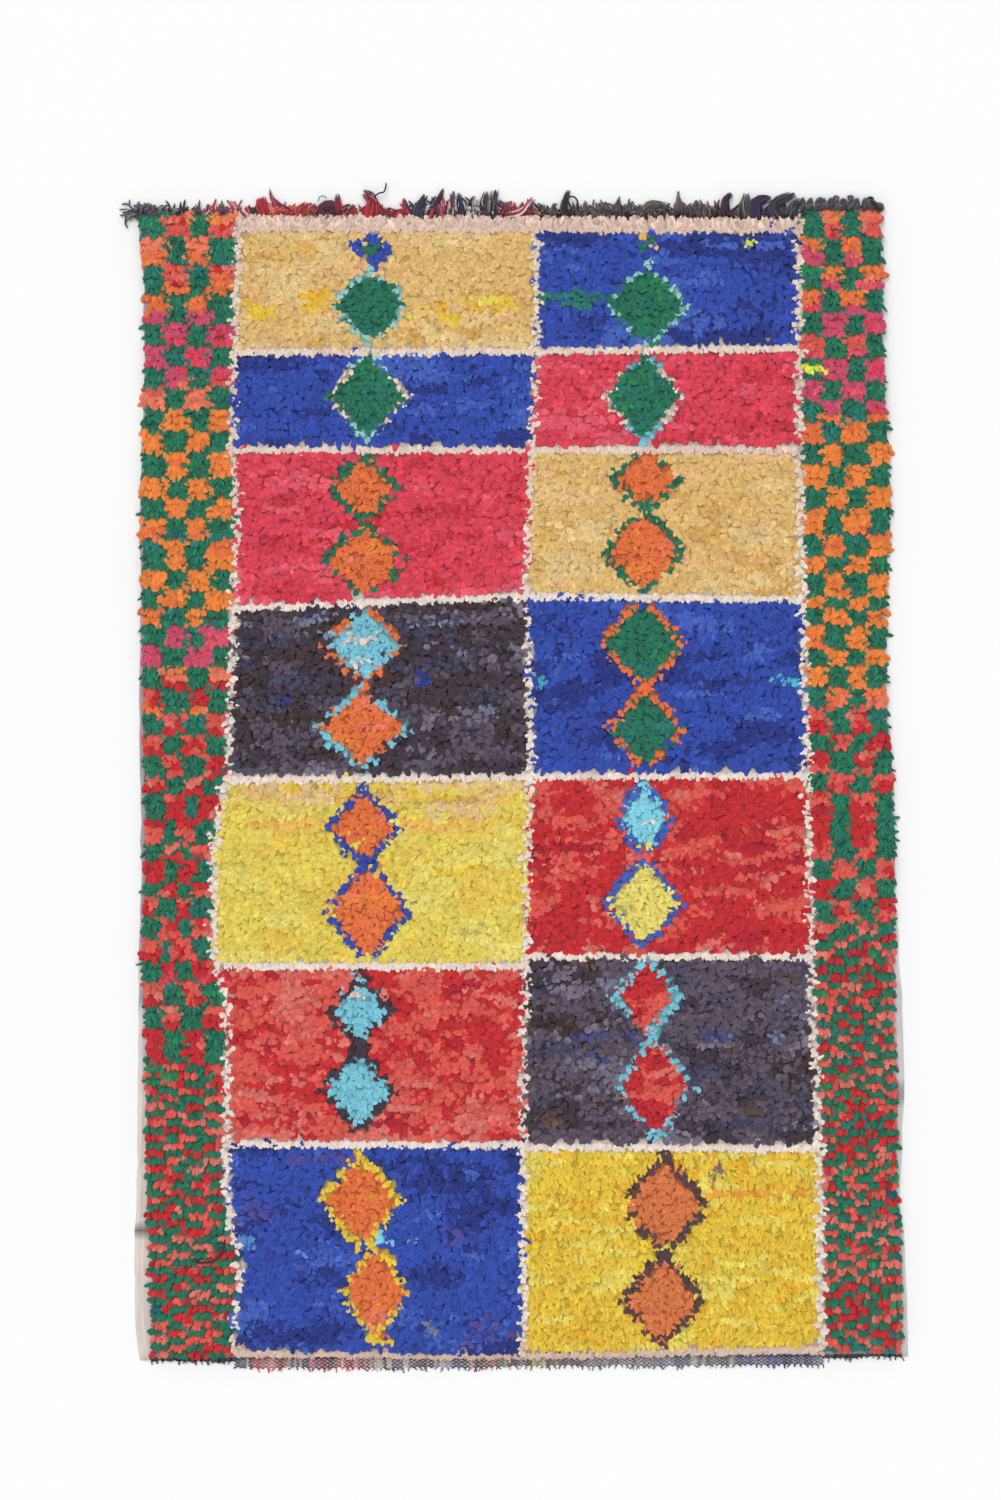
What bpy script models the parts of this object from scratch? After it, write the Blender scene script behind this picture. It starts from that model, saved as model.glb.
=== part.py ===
"""A boucherouite rug, lying flat: rag pile on a woven ground, with a warp fringe at each end.

Metres, +Z up. +Y runs towards the end with the long fringe, and the underside lies on Z = 0.
The origin is under the middle of the whole rug, fringes included.
"""

from collections import namedtuple
from random import Random

import bmesh
import bpy
import numpy as np
from mathutils import Vector, noise

MM = 0.001

# Plan of the pile, in millimetres from the middle of the pile. A selvedge is the bare
# edge of the ground that shows past the pile, and a narrow one is hidden by the locks.
NARROW_SELVEDGE = 2
Edge = namedtuple("Edge", "y left right left_selvedge right_selvedge")
OUTLINE = [
    Edge(-1160, -742, 764, 14, 12),
    Edge(-1060, -741, 765, 30, 10),
    Edge(-920, -744, 762, 26, 8),
    Edge(-820, -748, 756, 18, 4),
    Edge(-620, -748, 754, 15, 14),
    Edge(-420, -752, 748, 10, 16),
    Edge(-340, -757, 746, 6, 12),
    Edge(-220, -750, 750, 8, 2),
    Edge(0, -748, 746, 10, 2),
    Edge(180, -754, 732, 8, 2),
    Edge(380, -756, 732, 2, 2),
    Edge(580, -758, 740, 2, 2),
    Edge(780, -750, 734, 2, 2),
    Edge(1000, -750, 732, 2, 2),
    Edge(1160, -764, 724, 2, 2),
]
PILE_BOTTOM_LEFT_Y = -1142.0
PILE_BOTTOM_RIGHT_Y = -1134.0
PILE_TOP_LEFT_Y = 1150.0
PILE_TOP_RIGHT_Y = 1146.0
# The middle of the whole rug's box, from the middle of the pile
BOX_MIDDLE_X = -3.0
BOX_MIDDLE_Y = 15.0

# The body in section
PILE_HEIGHT = 20.5
LUMP_HEIGHT = 4.0
LUMP_SPAN = 125.0
SMALL_LUMP_HEIGHT = 2.2
SMALL_LUMP_SPAN = 52.0
GROUND_THICKNESS = 3.0
END_MARGIN = 6.0
RIM_WIDTH = 13.0
# How far each ring of the rim lies past the edge of the top, as a share of its width,
# and its height as a share of the pile above the ground
Ring = namedtuple("Ring", "share_out share_up")
RIM_RINGS = [Ring(0.72, 0.58), Ring(1.0, 0.0)]
RIM_EDGE_DROP = 0.86
CORNER_PULL = 0.72
COLUMNS = 32
ROWS = 48

# Locks of the pile that lie out over the rim
LOCK_ROOT_START = (0.14, 0.34)
LOCK_ROOT_END = (0.64, 0.86)
LOCK_ROOT_LOW = 0.14
LOCK_ROOT_HIGH = 0.82
LOCK_TIP_WIDTH = 0.6
LOCK_TIP_THICKNESS = 3.2
LOCK_CLEARANCE = 0.9
SIDE_LOCK_REACH = (6.0, 13.0)
SIDE_LOCK_LEAN = (-7.0, 3.0)
END_LOCK_REACH = (3.0, 5.5)
END_LOCK_EVERY = 2

# Fringes
PARTING = 0.3
Tuft = namedtuple("Tuft", "x length lean")
TOP_STRANDS = 84
TOP_STRIP_WIDTH = 6.0
TOP_STRIP_THICKNESS = 4.0
TOP_TUFTS = [
    Tuft(-766, 17, -22),
    Tuft(-690, 16, -16),
    Tuft(-600, 14, -9),
    Tuft(-540, 20, 0),
    Tuft(-500, 35, 4),
    Tuft(-440, 20, 4),
    Tuft(-385, 16, 0),
    Tuft(-345, 40, -4),
    Tuft(-300, 25, 0),
    Tuft(-265, 40, 4),
    Tuft(-220, 15, 2),
    Tuft(-160, 20, 0),
    Tuft(-110, 33, -8),
    Tuft(-60, 36, 0),
    Tuft(0, 34, 10),
    Tuft(50, 14, 6),
    Tuft(96, 32, 0),
    Tuft(150, 14, 0),
    Tuft(300, 16, 2),
    Tuft(420, 27, 4),
    Tuft(500, 16, 0),
    Tuft(560, 27, 2),
    Tuft(620, 15, 8),
    Tuft(724, 15, 12),
]
BOTTOM_STRANDS = 50
BOTTOM_STRIP_WIDTH = 16.0
BOTTOM_STRIP_THICKNESS = 3.5
BOTTOM_TUFTS = [
    Tuft(-742, 4, -2),
    Tuft(-560, 4, 0),
    Tuft(-540, 8, 2),
    Tuft(0, 9, 2),
    Tuft(590, 8, 2),
    Tuft(610, 4, 0),
    Tuft(764, 4, 2),
]
STRAND_WIDTH_SHARE = 0.56
STRAND_TIP_WIDTH = 0.5
STRAND_TIP_THICKNESS = 1.8
STRAND_STEPS = (0.55, 1.0)
LEAN_CURVE = 1.5
LENGTH_SPREAD = 0.16
LEAN_SPREAD = 1.6


def column(rows, name):
    return [getattr(row, name) for row in rows]


def outline_at(y, name):
    return float(np.interp(y, column(OUTLINE, "y"), column(OUTLINE, name)))


def end_y(x, left_y, right_y):
    """Y of a straight end line, from its heights at the rug's left and right edges."""
    left = outline_at(left_y, "left")
    right = outline_at(right_y, "right")
    return left_y + (right_y - left_y) * (x - left) / (right - left)


def top_y(x):
    return end_y(x, PILE_TOP_LEFT_Y, PILE_TOP_RIGHT_Y)


def bottom_y(x):
    return end_y(x, PILE_BOTTOM_LEFT_Y, PILE_BOTTOM_RIGHT_Y)


def placed(x, y, z):
    """A point in the rug's own frame, from millimetres about the middle of the pile."""
    return Vector(((x - BOX_MIDDLE_X) * MM, (y - BOX_MIDDLE_Y) * MM, z * MM))


def pile_height(x, y):
    """Height of the lumpy top of the pile."""
    broad = noise.noise(Vector((x, y, 0.0)) / LUMP_SPAN)
    small = noise.noise(Vector((x, y, SMALL_LUMP_SPAN)) / SMALL_LUMP_SPAN)
    return PILE_HEIGHT + LUMP_HEIGHT * broad + SMALL_LUMP_HEIGHT * small


def top_point(i, j):
    """A point of the top's grid. Its outermost points lie a rim's width inside the pile."""
    y = bottom_y(0.0) + (top_y(0.0) - bottom_y(0.0)) * j / ROWS
    left = outline_at(y, "left") + RIM_WIDTH
    right = outline_at(y, "right") - RIM_WIDTH
    x = left + (right - left) * i / COLUMNS
    low = bottom_y(x) + RIM_WIDTH
    high = top_y(x) - RIM_WIDTH
    y = low + (high - low) * j / ROWS
    on_rim = i in (0, COLUMNS) or j in (0, ROWS)
    return x, y, pile_height(x, y) * (RIM_EDGE_DROP if on_rim else 1.0)


def rim_stations():
    """Grid places round the top's edge, anticlockwise seen from above."""
    south = [(i, 0) for i in range(COLUMNS)]
    east = [(COLUMNS, j) for j in range(ROWS)]
    north = [(i, ROWS) for i in range(COLUMNS, 0, -1)]
    west = [(0, j) for j in range(ROWS, 0, -1)]
    return south + east + north + west


def outward(i, j):
    """Which way is out at a place on the top's edge, along X and along Y."""
    return (i == COLUMNS) - (i == 0), (j == ROWS) - (j == 0)


def selvedge_width(i, y):
    side = "right_selvedge" if i == COLUMNS else "left_selvedge"
    return outline_at(y, side)


def rim_point(i, j, ring):
    x, y, top = top_point(i, j)
    out_x, out_y = outward(i, j)
    out = RIM_WIDTH * ring.share_out
    if out_x and out_y:
        out *= CORNER_PULL
    z = GROUND_THICKNESS + (top - GROUND_THICKNESS) * ring.share_up
    return placed(x + out_x * out, y + out_y * out, z)


def ground_point(i, j, z):
    """A point on the edge of the ground, which runs on past the foot of the pile."""
    x, y, _ = top_point(i, j)
    out_x, out_y = outward(i, j)
    x += out_x * (RIM_WIDTH + selvedge_width(i, y))
    if out_y:
        y = bottom_y(x) - END_MARGIN if out_y < 0 else top_y(x) + END_MARGIN
    return placed(x, y, z)


def grow(bm, root, rings):
    """Lofts four-sided rings of points on from a root of four vertices, and caps the tip."""
    last = root
    for points in rings:
        ring = [bm.verts.new(point) for point in points]
        for a in range(4):
            b = (a + 1) % 4
            bm.faces.new((last[a], last[b], ring[b], ring[a]))
        last = ring
    bm.faces.new(last)


def on_quad(corners, along, up):
    """A point on a wall quad, whose corners are low start, low end, high end, high start."""
    low = corners[0].lerp(corners[1], along)
    high = corners[3].lerp(corners[2], along)
    return low.lerp(high, up)


def add_lock(bm, quad, way_out, floor_z, rng):
    """Puts a tapered lock on a wall quad, lying way_out and down to a height over the floor."""
    corners = [vertex.co.copy() for vertex in quad]
    start = rng.uniform(*LOCK_ROOT_START)
    end = rng.uniform(*LOCK_ROOT_END)
    places = [
        (start, LOCK_ROOT_LOW),
        (end, LOCK_ROOT_LOW),
        (end, LOCK_ROOT_HIGH),
        (start, LOCK_ROOT_HIGH),
    ]
    root = [bm.verts.new(on_quad(corners, along, up)) for along, up in places]
    for a in range(4):
        b = (a + 1) % 4
        bm.faces.new((quad[a], quad[b], root[b], root[a]))
    middle = (root[0].co + root[1].co) / 2
    half = (root[1].co - root[0].co) / 2 * LOCK_TIP_WIDTH
    half.z = 0.0
    tip = middle + way_out * MM
    tip.z = floor_z * MM
    rise = Vector((0, 0, LOCK_TIP_THICKNESS * MM))
    grow(bm, root, [(tip - half, tip + half, tip + half + rise, tip - half + rise)])


def lock_way(out_x, out_y, rng):
    """How far a lock lies out and sideways, in millimetres."""
    if out_x:
        return Vector((out_x * rng.uniform(*SIDE_LOCK_REACH), rng.uniform(*SIDE_LOCK_LEAN), 0))
    return Vector((0, out_y * rng.uniform(*END_LOCK_REACH), 0))


def add_wall(bm, upper, lower, stations, rng):
    """The pile's outer wall, with a lock on each stretch of the sides and every other at the ends."""
    count = len(stations)
    for k in range(count):
        n = (k + 1) % count
        quad = (lower[k], lower[n], upper[n], upper[k])
        x_ways = {outward(*stations[k])[0], outward(*stations[n])[0]}
        y_ways = {outward(*stations[k])[1], outward(*stations[n])[1]}
        out_x = x_ways.pop() if len(x_ways) == 1 else 0
        out_y = y_ways.pop() if len(y_ways) == 1 else 0
        if out_y and k % END_LOCK_EVERY:
            bm.faces.new(quad)
            continue
        i, j = stations[k]
        selvedge = selvedge_width(i, top_point(i, j)[1])
        on_floor = out_x and selvedge <= NARROW_SELVEDGE
        floor_z = 0.0 if on_floor else GROUND_THICKNESS + LOCK_CLEARANCE
        add_lock(bm, quad, lock_way(out_x, out_y, rng), floor_z, rng)


def add_band(bm, upper, lower):
    count = len(upper)
    for k in range(count):
        n = (k + 1) % count
        bm.faces.new((lower[k], lower[n], upper[n], upper[k]))


def add_underside(bm, edge, stations):
    """Flat strips across the underside, one for each row, from the left edge to the right."""
    at = dict(zip(stations, edge, strict=True))
    for j in range(ROWS):
        far = [(i, j + 1) for i in range(COLUMNS + 1) if (i, j + 1) in at]
        near = [(i, j) for i in range(COLUMNS, -1, -1) if (i, j) in at]
        bm.faces.new([at[place] for place in far + near])


def rug_body():
    bm = bmesh.new()
    rng = Random(7)
    top = {}
    for i in range(COLUMNS + 1):
        for j in range(ROWS + 1):
            top[i, j] = bm.verts.new(placed(*top_point(i, j)))
    for i in range(COLUMNS):
        for j in range(ROWS):
            corners = ((i, j), (i + 1, j), (i + 1, j + 1), (i, j + 1))
            bm.faces.new([top[place] for place in corners])
    stations = rim_stations()
    edge = [top[place] for place in stations]
    shoulder, foot = (
        [bm.verts.new(rim_point(i, j, ring)) for i, j in stations] for ring in RIM_RINGS
    )
    add_band(bm, edge, shoulder)
    add_wall(bm, shoulder, foot, stations, rng)
    upper = [bm.verts.new(ground_point(i, j, GROUND_THICKNESS)) for i, j in stations]
    lower = [bm.verts.new(ground_point(i, j, 0.0)) for i, j in stations]
    add_band(bm, foot, upper)
    add_band(bm, upper, lower)
    add_underside(bm, lower, stations)
    return bm


def fringe(strands, tufts, strip_width, thickness, edge_y, way, rng):
    """A strip along an end of the ground, with strands that lie out from it on the floor.

    way is 1 at the top end and -1 at the bottom. edge_y gives the strip's inner line.
    """
    bm = bmesh.new()
    left = tufts[0].x
    pitch = (tufts[-1].x - left) / strands
    root_width = pitch * STRAND_WIDTH_SHARE
    rows = []
    for k in range(strands):
        start = left + pitch * k + (pitch - root_width) / 2
        for x in (start, start + root_width):
            inner = edge_y(x)
            outer = inner + way * strip_width
            section = ((inner, 0.0), (outer, 0.0), (outer, thickness), (inner, thickness))
            rows.append([bm.verts.new(placed(x, y, z)) for y, z in section])
    for k, (near, far) in enumerate(zip(rows, rows[1:], strict=False)):
        has_strand = k % 2 == 0
        for a in range(4):
            b = (a + 1) % 4
            if a == 1 and has_strand:
                root = (near[a], far[a], far[b], near[b])
                add_strand(bm, root, tufts, way, root_width, thickness, rng)
            else:
                bm.faces.new((near[a], far[a], far[b], near[b]))
    bm.faces.new(rows[0])
    bm.faces.new(rows[-1])
    return bm


def add_strand(bm, root, tufts, way, width, thickness, rng):
    """One strand, level on the floor, which thins towards its tip and leans as its tuft does."""
    x = (root[0].co.x + root[1].co.x) / 2 / MM + BOX_MIDDLE_X
    y = root[0].co.y / MM + BOX_MIDDLE_Y
    xs = column(tufts, "x")
    length = float(np.interp(x, xs, column(tufts, "length")))
    lean = float(np.interp(x, xs, column(tufts, "lean")))
    length *= 1 + rng.uniform(-LENGTH_SPREAD, LENGTH_SPREAD)
    lean += rng.uniform(-LEAN_SPREAD, LEAN_SPREAD)
    rings = []
    for share in STRAND_STEPS:
        half = width / 2 * (1 + (STRAND_TIP_WIDTH - 1) * share)
        height = thickness + (STRAND_TIP_THICKNESS - thickness) * share
        middle_x = x + lean * share**LEAN_CURVE
        middle_y = y + way * length * share
        rings.append(
            [
                placed(middle_x - half, middle_y, 0.0),
                placed(middle_x + half, middle_y, 0.0),
                placed(middle_x + half, middle_y, height),
                placed(middle_x - half, middle_y, height),
            ]
        )
    grow(bm, root, rings)


def cloth_material(name, colour, roughness):
    material = bpy.data.materials.new(name)
    material.use_nodes = True
    shader = material.node_tree.nodes["Principled BSDF"]
    shader.inputs["Base Color"].default_value = (*colour, 1.0)
    shader.inputs["Roughness"].default_value = roughness
    shader.inputs["Metallic"].default_value = 0.0
    material.diffuse_color = (*colour, 1.0)
    return material


def add_object(name, bm, material):
    bmesh.ops.recalc_face_normals(bm, faces=bm.faces)
    mesh = bpy.data.meshes.new(name)
    bm.to_mesh(mesh)
    bm.free()
    mesh.materials.append(material)
    thing = bpy.data.objects.new(name, mesh)
    bpy.context.scene.collection.objects.link(thing)
    return thing


def build():
    for thing in list(bpy.data.objects):
        bpy.data.objects.remove(thing)
    add_object("rug_body", rug_body(), cloth_material("rag_pile", (0.62, 0.17, 0.12), 0.95))
    top_edge = END_MARGIN + PARTING
    top = fringe(
        TOP_STRANDS,
        TOP_TUFTS,
        TOP_STRIP_WIDTH,
        TOP_STRIP_THICKNESS,
        lambda x: top_y(x) + top_edge,
        1,
        Random(11),
    )
    add_object("fringe_top", top, cloth_material("warp_cords", (0.07, 0.06, 0.07), 0.9))
    bottom = fringe(
        BOTTOM_STRANDS,
        BOTTOM_TUFTS,
        BOTTOM_STRIP_WIDTH,
        BOTTOM_STRIP_THICKNESS,
        lambda x: bottom_y(x) - top_edge,
        -1,
        Random(13),
    )
    add_object("fringe_bottom", bottom, cloth_material("warp_net", (0.2, 0.1, 0.13), 0.9))


build()
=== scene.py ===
"""Boucherouite rug: the looks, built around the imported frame.

Places are in millimetres from the middle of the pile, x to the right and y towards the top
fringe, and metres() turns them into the frame's metres. Angles are in degrees from +x, so -90
points towards the bottom fringe.
"""
import math
from collections import namedtuple

import bpy
import numpy as np
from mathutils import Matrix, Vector
from mathutils.bvhtree import BVHTree
from mathutils.kdtree import KDTree


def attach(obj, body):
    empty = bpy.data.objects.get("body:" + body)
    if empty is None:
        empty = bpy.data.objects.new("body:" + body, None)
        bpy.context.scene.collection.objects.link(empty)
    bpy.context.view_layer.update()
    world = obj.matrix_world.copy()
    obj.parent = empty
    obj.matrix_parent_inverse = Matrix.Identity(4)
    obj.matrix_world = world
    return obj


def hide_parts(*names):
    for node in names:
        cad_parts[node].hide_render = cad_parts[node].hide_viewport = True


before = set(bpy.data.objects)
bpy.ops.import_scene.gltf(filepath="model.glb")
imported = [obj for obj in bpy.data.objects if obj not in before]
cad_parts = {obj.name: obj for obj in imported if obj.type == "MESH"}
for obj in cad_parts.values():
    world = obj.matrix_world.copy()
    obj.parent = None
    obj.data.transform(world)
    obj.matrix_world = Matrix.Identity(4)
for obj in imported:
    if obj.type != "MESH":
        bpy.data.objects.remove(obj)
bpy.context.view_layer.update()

MM = 0.001
BODY = "root"
SEED = 4186
BOX_MIDDLE_X = -3.0  # the middle of the whole rug, fringes included
BOX_MIDDLE_Y = 15.0


def table(kind, *rows):
    """A table: the cells of each row by name."""
    return [kind(*row) for row in rows]


def grouped(kind, *groups):
    """A table whose rows start with the cells that their group shares."""
    return [kind(*shared, *row) for *shared, rows in groups for row in rows]


# The pile and its selvedges

Edge = namedtuple("Edge", "y left right left_selvedge right_selvedge")
OUTLINE = table(
    Edge,
    (-1160, -742, 764, 14, 12), (-1060, -741, 765, 30, 10), (-920, -744, 762, 26, 8),
    (-820, -748, 756, 18, 4), (-620, -748, 754, 15, 14), (-420, -752, 748, 10, 16),
    (-340, -757, 746, 6, 12), (-220, -750, 750, 8, 2), (0, -748, 746, 10, 2), (180, -754, 732, 8, 2),
    (380, -756, 732, 2, 2), (580, -758, 740, 2, 2), (780, -750, 730, 2, 2), (1000, -750, 724, 2, 2),
    (1160, -764, 717, 2, 2),
)
PILE_BOTTOM_LEFT_Y = -1142
PILE_BOTTOM_RIGHT_Y = -1134
PILE_TOP_LEFT_Y = 1150
PILE_TOP_RIGHT_Y = 1146
PILE_MIDDLE_HALF = 740  # the ends' heights above are those at this x, left and right
END_MARGIN = 2
GROUND_THICKNESS = 3.0
HEIGHT_STEP = 6.0  # of the grid on which the solid's top is measured
HEIGHT_CORNER = (-810.0, -1230.0)
RAY_START = 0.1

# Colours, as parts of 255

PALETTE = {
    "blue": (49, 75, 168), "blue_dark": (38, 54, 132), "blue_bright": (66, 96, 184),
    "violet": (84, 74, 150), "sky": (122, 194, 212), "sky_bright": (130, 208, 224),
    "slate": (64, 72, 124), "azure": (84, 132, 200), "umber": (88, 64, 68), "pumpkin": (214, 120, 70),
    "marigold": (230, 164, 62), "brown_light": (98, 74, 66), "cream_white": (232, 218, 208),
    "aqua": (150, 204, 204), "turquoise": (70, 165, 185), "green": (34, 113, 87),
    "green_cool": (38, 116, 104), "teal": (34, 95, 106), "grass": (40, 128, 86), "lime": (215, 225, 80),
    "orange": (224, 114, 62), "amber": (230, 130, 60), "salmon": (228, 120, 92),
    "rose": (216, 112, 102), "coral": (215, 88, 78), "red": (195, 42, 47), "crimson": (178, 34, 50),
    "pink": (216, 66, 86), "pink_light": (224, 88, 106), "pink_deep": (200, 52, 72),
    "magenta": (200, 75, 105), "ochre": (221, 184, 116), "ochre_pale": (225, 195, 136),
    "tan": (210, 166, 92), "peach": (226, 184, 130), "apricot": (232, 184, 92), "lemon": (224, 203, 90),
    "lemon_soft": (228, 213, 112), "lemon_warm": (226, 196, 82), "yellow": (226, 194, 64),
    "yellow_soft": (228, 210, 96), "yellow_warm": (227, 188, 60), "gold": (228, 178, 50),
    "charcoal": (92, 80, 96), "charcoal_light": (118, 108, 126), "charcoal_dark": (66, 54, 66),
    "charcoal_blue": (70, 68, 92), "brown": (66, 50, 50), "grey_blue": (112, 122, 148),
    "cream": (227, 209, 194), "cream_pink": (224, 198, 186), "white": (226, 222, 216),
    "beige": (218, 191, 175), "maroon": (112, 42, 62), "plum": (72, 38, 74), "navy": (40, 44, 84),
    "black": (36, 32, 38), "grey": (120, 114, 118), "grey_dark": (84, 80, 88),
    "grey_brown": (118, 98, 86), "olive": (104, 98, 66), "selvedge_beige": (214, 202, 194),
    "selvedge_grey": (206, 201, 201), "selvedge_purple": (164, 155, 163),
}
NAMES = list(PALETTE)
CODE = {name: number for number, name in enumerate(NAMES)}
DYE_STRENGTH = 0.98  # the dyed rag is lighter than it looks between other rags


def linear(parts):
    """Linear light from parts of 255."""
    share = np.asarray(parts, float) / 255
    return np.where(share <= 0.04045, share / 12.92, ((share + 0.055) / 1.055) ** 2.4)


TINTS = np.array([linear(PALETTE[name]) for name in NAMES])

# A colour is made of several dye lots: the other lots, each with its share of the rags

LOTS = {
    "green": {"green_cool": 0.20, "grass": 0.08},
    "blue": {"blue_dark": 0.24, "blue_bright": 0.10},
    "pink": {"pink_deep": 0.16, "pink_light": 0.16, "red": 0.03},
    "red": {"coral": 0.34, "crimson": 0.10, "rose": 0.05},
    "coral": {"red": 0.40, "rose": 0.20, "crimson": 0.04},
    "orange": {"amber": 0.14, "salmon": 0.08},
    "salmon": {"coral": 0.25, "amber": 0.16},
    "magenta": {"pink": 0.22, "pink_light": 0.15},
    "ochre": {"ochre_pale": 0.30, "tan": 0.10, "peach": 0.08},
    "lemon": {"lemon_soft": 0.25, "lemon_warm": 0.20},
    "yellow": {"yellow_soft": 0.28, "yellow_warm": 0.22, "gold": 0.06},
    "charcoal": {"charcoal_dark": 0.26, "charcoal_light": 0.14, "charcoal_blue": 0.10, "brown": 0.06},
    "charcoal_dark": {"charcoal": 0.36, "brown": 0.14, "charcoal_blue": 0.10, "charcoal_light": 0.05},
    "amber": {"orange": 0.30},
    "cream": {"cream_pink": 0.20},
}
LOT_SIZE = (95, 24)  # of a dye lot's streaks: along the knot rows, and across them
PATCH_SIZES = {"coral": (46, 15), "red": (46, 15), "yellow": (64, 16)}  # the same of these colours
BORDER_MIXING = 0.45

# Cream lines between the panels: three lengthwise, and eight across each half

Line = namedtuple("Line", "y left centre right")
CREAM_LINES = table(
    Line,
    (1160, -558, 32, 556), (1116, -560, 32, 556), (876, -570, 32, 556), (676, -574, 22, 556),
    (576, -564, 18, 558), (376, -570, 10, 562), (176, -576, 20, 568), (16, -584, 20, 572),
    (-124, -610, 16, 576), (-344, -610, 14, 580), (-424, -584, 10, 582), (-544, -582, 8, 586),
    (-724, -584, 6, 596), (-800, -586, 6, 598), (-860, -576, 6, 600), (-960, -558, 6, 600),
    (-1010, -560, 6, 600), (-1070, -572, 6, 600), (-1124, -566, 6, 600), (-1160, -564, 6, 600),
)
Crossing = namedtuple("Crossing", "left_outer left_inner right_inner right_outer")
CROSSINGS = table(
    Crossing,
    (1124, 1122, 1122, 1120), (868, 870, 870, 876), (674, 674, 674, 674), (358, 382, 382, 376),
    (16, 22, 22, 24), (-356, -356, -336, -336), (-710, -712, -716, -718), (-1128, -1139, -1136, -1120),
)
LINE_HALF = 9.0
TOP_BAND_HALF = 15.0  # the line along the top is a band of three rows
TOP_BAND_ROWS = (-8, 2, 10)  # from the band's middle
ZIGZAG = {"centre": 2.5, "right": 4.0, "left": 4.0}  # how far the teeth stand to either side
ZIGZAG_TURN = 48
LIGHTER_LINES_BELOW = 500.0
LEFT_LINE_GAPS = [-932, -1010, -1088]  # where rags of the left line are missing
LINE_GAP = 9.0  # each way
BEIGE_LINES_PAST = 1100.0  # the first and the last one

# Rags: how each kind of cut strip lies. Sizes in millimetres, angles in degrees.

Rag = namedtuple("Rag", "flaps width length blunt spread wander lift curl material uneven")
RAGS = {
    "fine": Rag(4, 11.0, 21, 0.90, 84, 28, 1.1, 7, "cotton_rag", 0.07),
    "brush": Rag(4, 9.0, 22, 0.80, 50, 18, 1.5, 12, "cotton_rag", 0.08),
    "round": Rag(3, 14.5, 21, 0.95, 80, 30, 2.0, 10, "jersey_rag", 0.09),
    "tuft": Rag(3, 12.0, 19, 0.95, 110, 46, 3.6, 14, "wool_rag", 0.13),
    "blade": Rag(3, 13.5, 23, 0.75, 80, 32, 2.2, 12, "wool_rag", 0.10),
    "check": Rag(3, 13.0, 21, 0.80, 40, 14, 2.0, 10, "jersey_rag", 0.08),
    "sprig": Rag(4, 9.5, 21, 0.70, 50, 18, 2.6, 20, "jersey_rag", 0.18),
    "comb": Rag(3, 9.5, 19, 0.92, 26, 8, 2.4, 9, "jersey_rag", 0.10),
    "motif": Rag(4, 10.5, 20, 0.75, 100, 36, 2.2, 14, "jersey_rag", 0.07),
    "tooth": Rag(4, 10.5, 18, 0.80, 56, 18, 2.4, 12, "jersey_rag", 0.05),
    "hem": Rag(4, 8.5, 17, 0.90, 24, 5, 2.2, 6, "cotton_rag", 0.05),
    "leaf": Rag(3, 12.0, 18, 0.60, 66, 16, 2.8, 8, "cotton_rag", 0.04),
    "petal": Rag(2, 13.0, 26, 0.50, 30, 16, 3.0, 12, "cotton_rag", 0.17),
    "nib": Rag(3, 8.0, 14, 0.75, 50, 18, 2.4, 10, "cotton_rag", 0.06),
}
PANELS_DEEP = 7
ROW_PITCH = 14.5
PANEL_SCATTER = (1.8, 1.2)  # of a knot from its place, along its row and across it
BORDER_SCATTER = (1.6, 1.2)
ZIGZAG_SCATTER = (1.5, 1.5)
LINE_SCATTER = (1.5, 0.8)
ROW_WAVE = 2.5
EDGE_INSET = 7.0
END_INSET = 5.0
RIM = 16.0  # how far from the pile's edges the rags turn outwards
OUT_AT_SIDES = 0.35
OUT_AT_TOP = 1.2
PANEL_MIDDLES = (-300, 290)
KNOT_PITCH = 13.5
LINE_PITCH = 7.0
ZIGZAG_PITCH = 15.0
TOOTH_PITCH = 20.0
TOOTH_CLEAR = 11.0
VISIBLE_SHIFT = 0.60  # of a flap's length: how far from its knot a colour shows

Panel = namedtuple("Panel", "name ground rag lean")
PANELS = table(  # the left column downwards, then the right one
    Panel,
    ("L1", "ochre", "fine", -80), ("L2", "blue", "blade", -90), ("L3", "pink", "round", -90),
    ("L4", "charcoal_dark", "tuft", -100), ("L5", "lemon", "fine", -100), ("L6", "coral", "round", -90),
    ("L7", "blue", "blade", -125), ("R1", "blue", "blade", -90), ("R2", "pink", "round", -90),
    ("R3", "ochre", "fine", -90), ("R4", "blue", "blade", -90), ("R5", "red", "round", -90),
    ("R6", "charcoal", "tuft", -90), ("R7", "yellow", "brush", -90),
)

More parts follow.
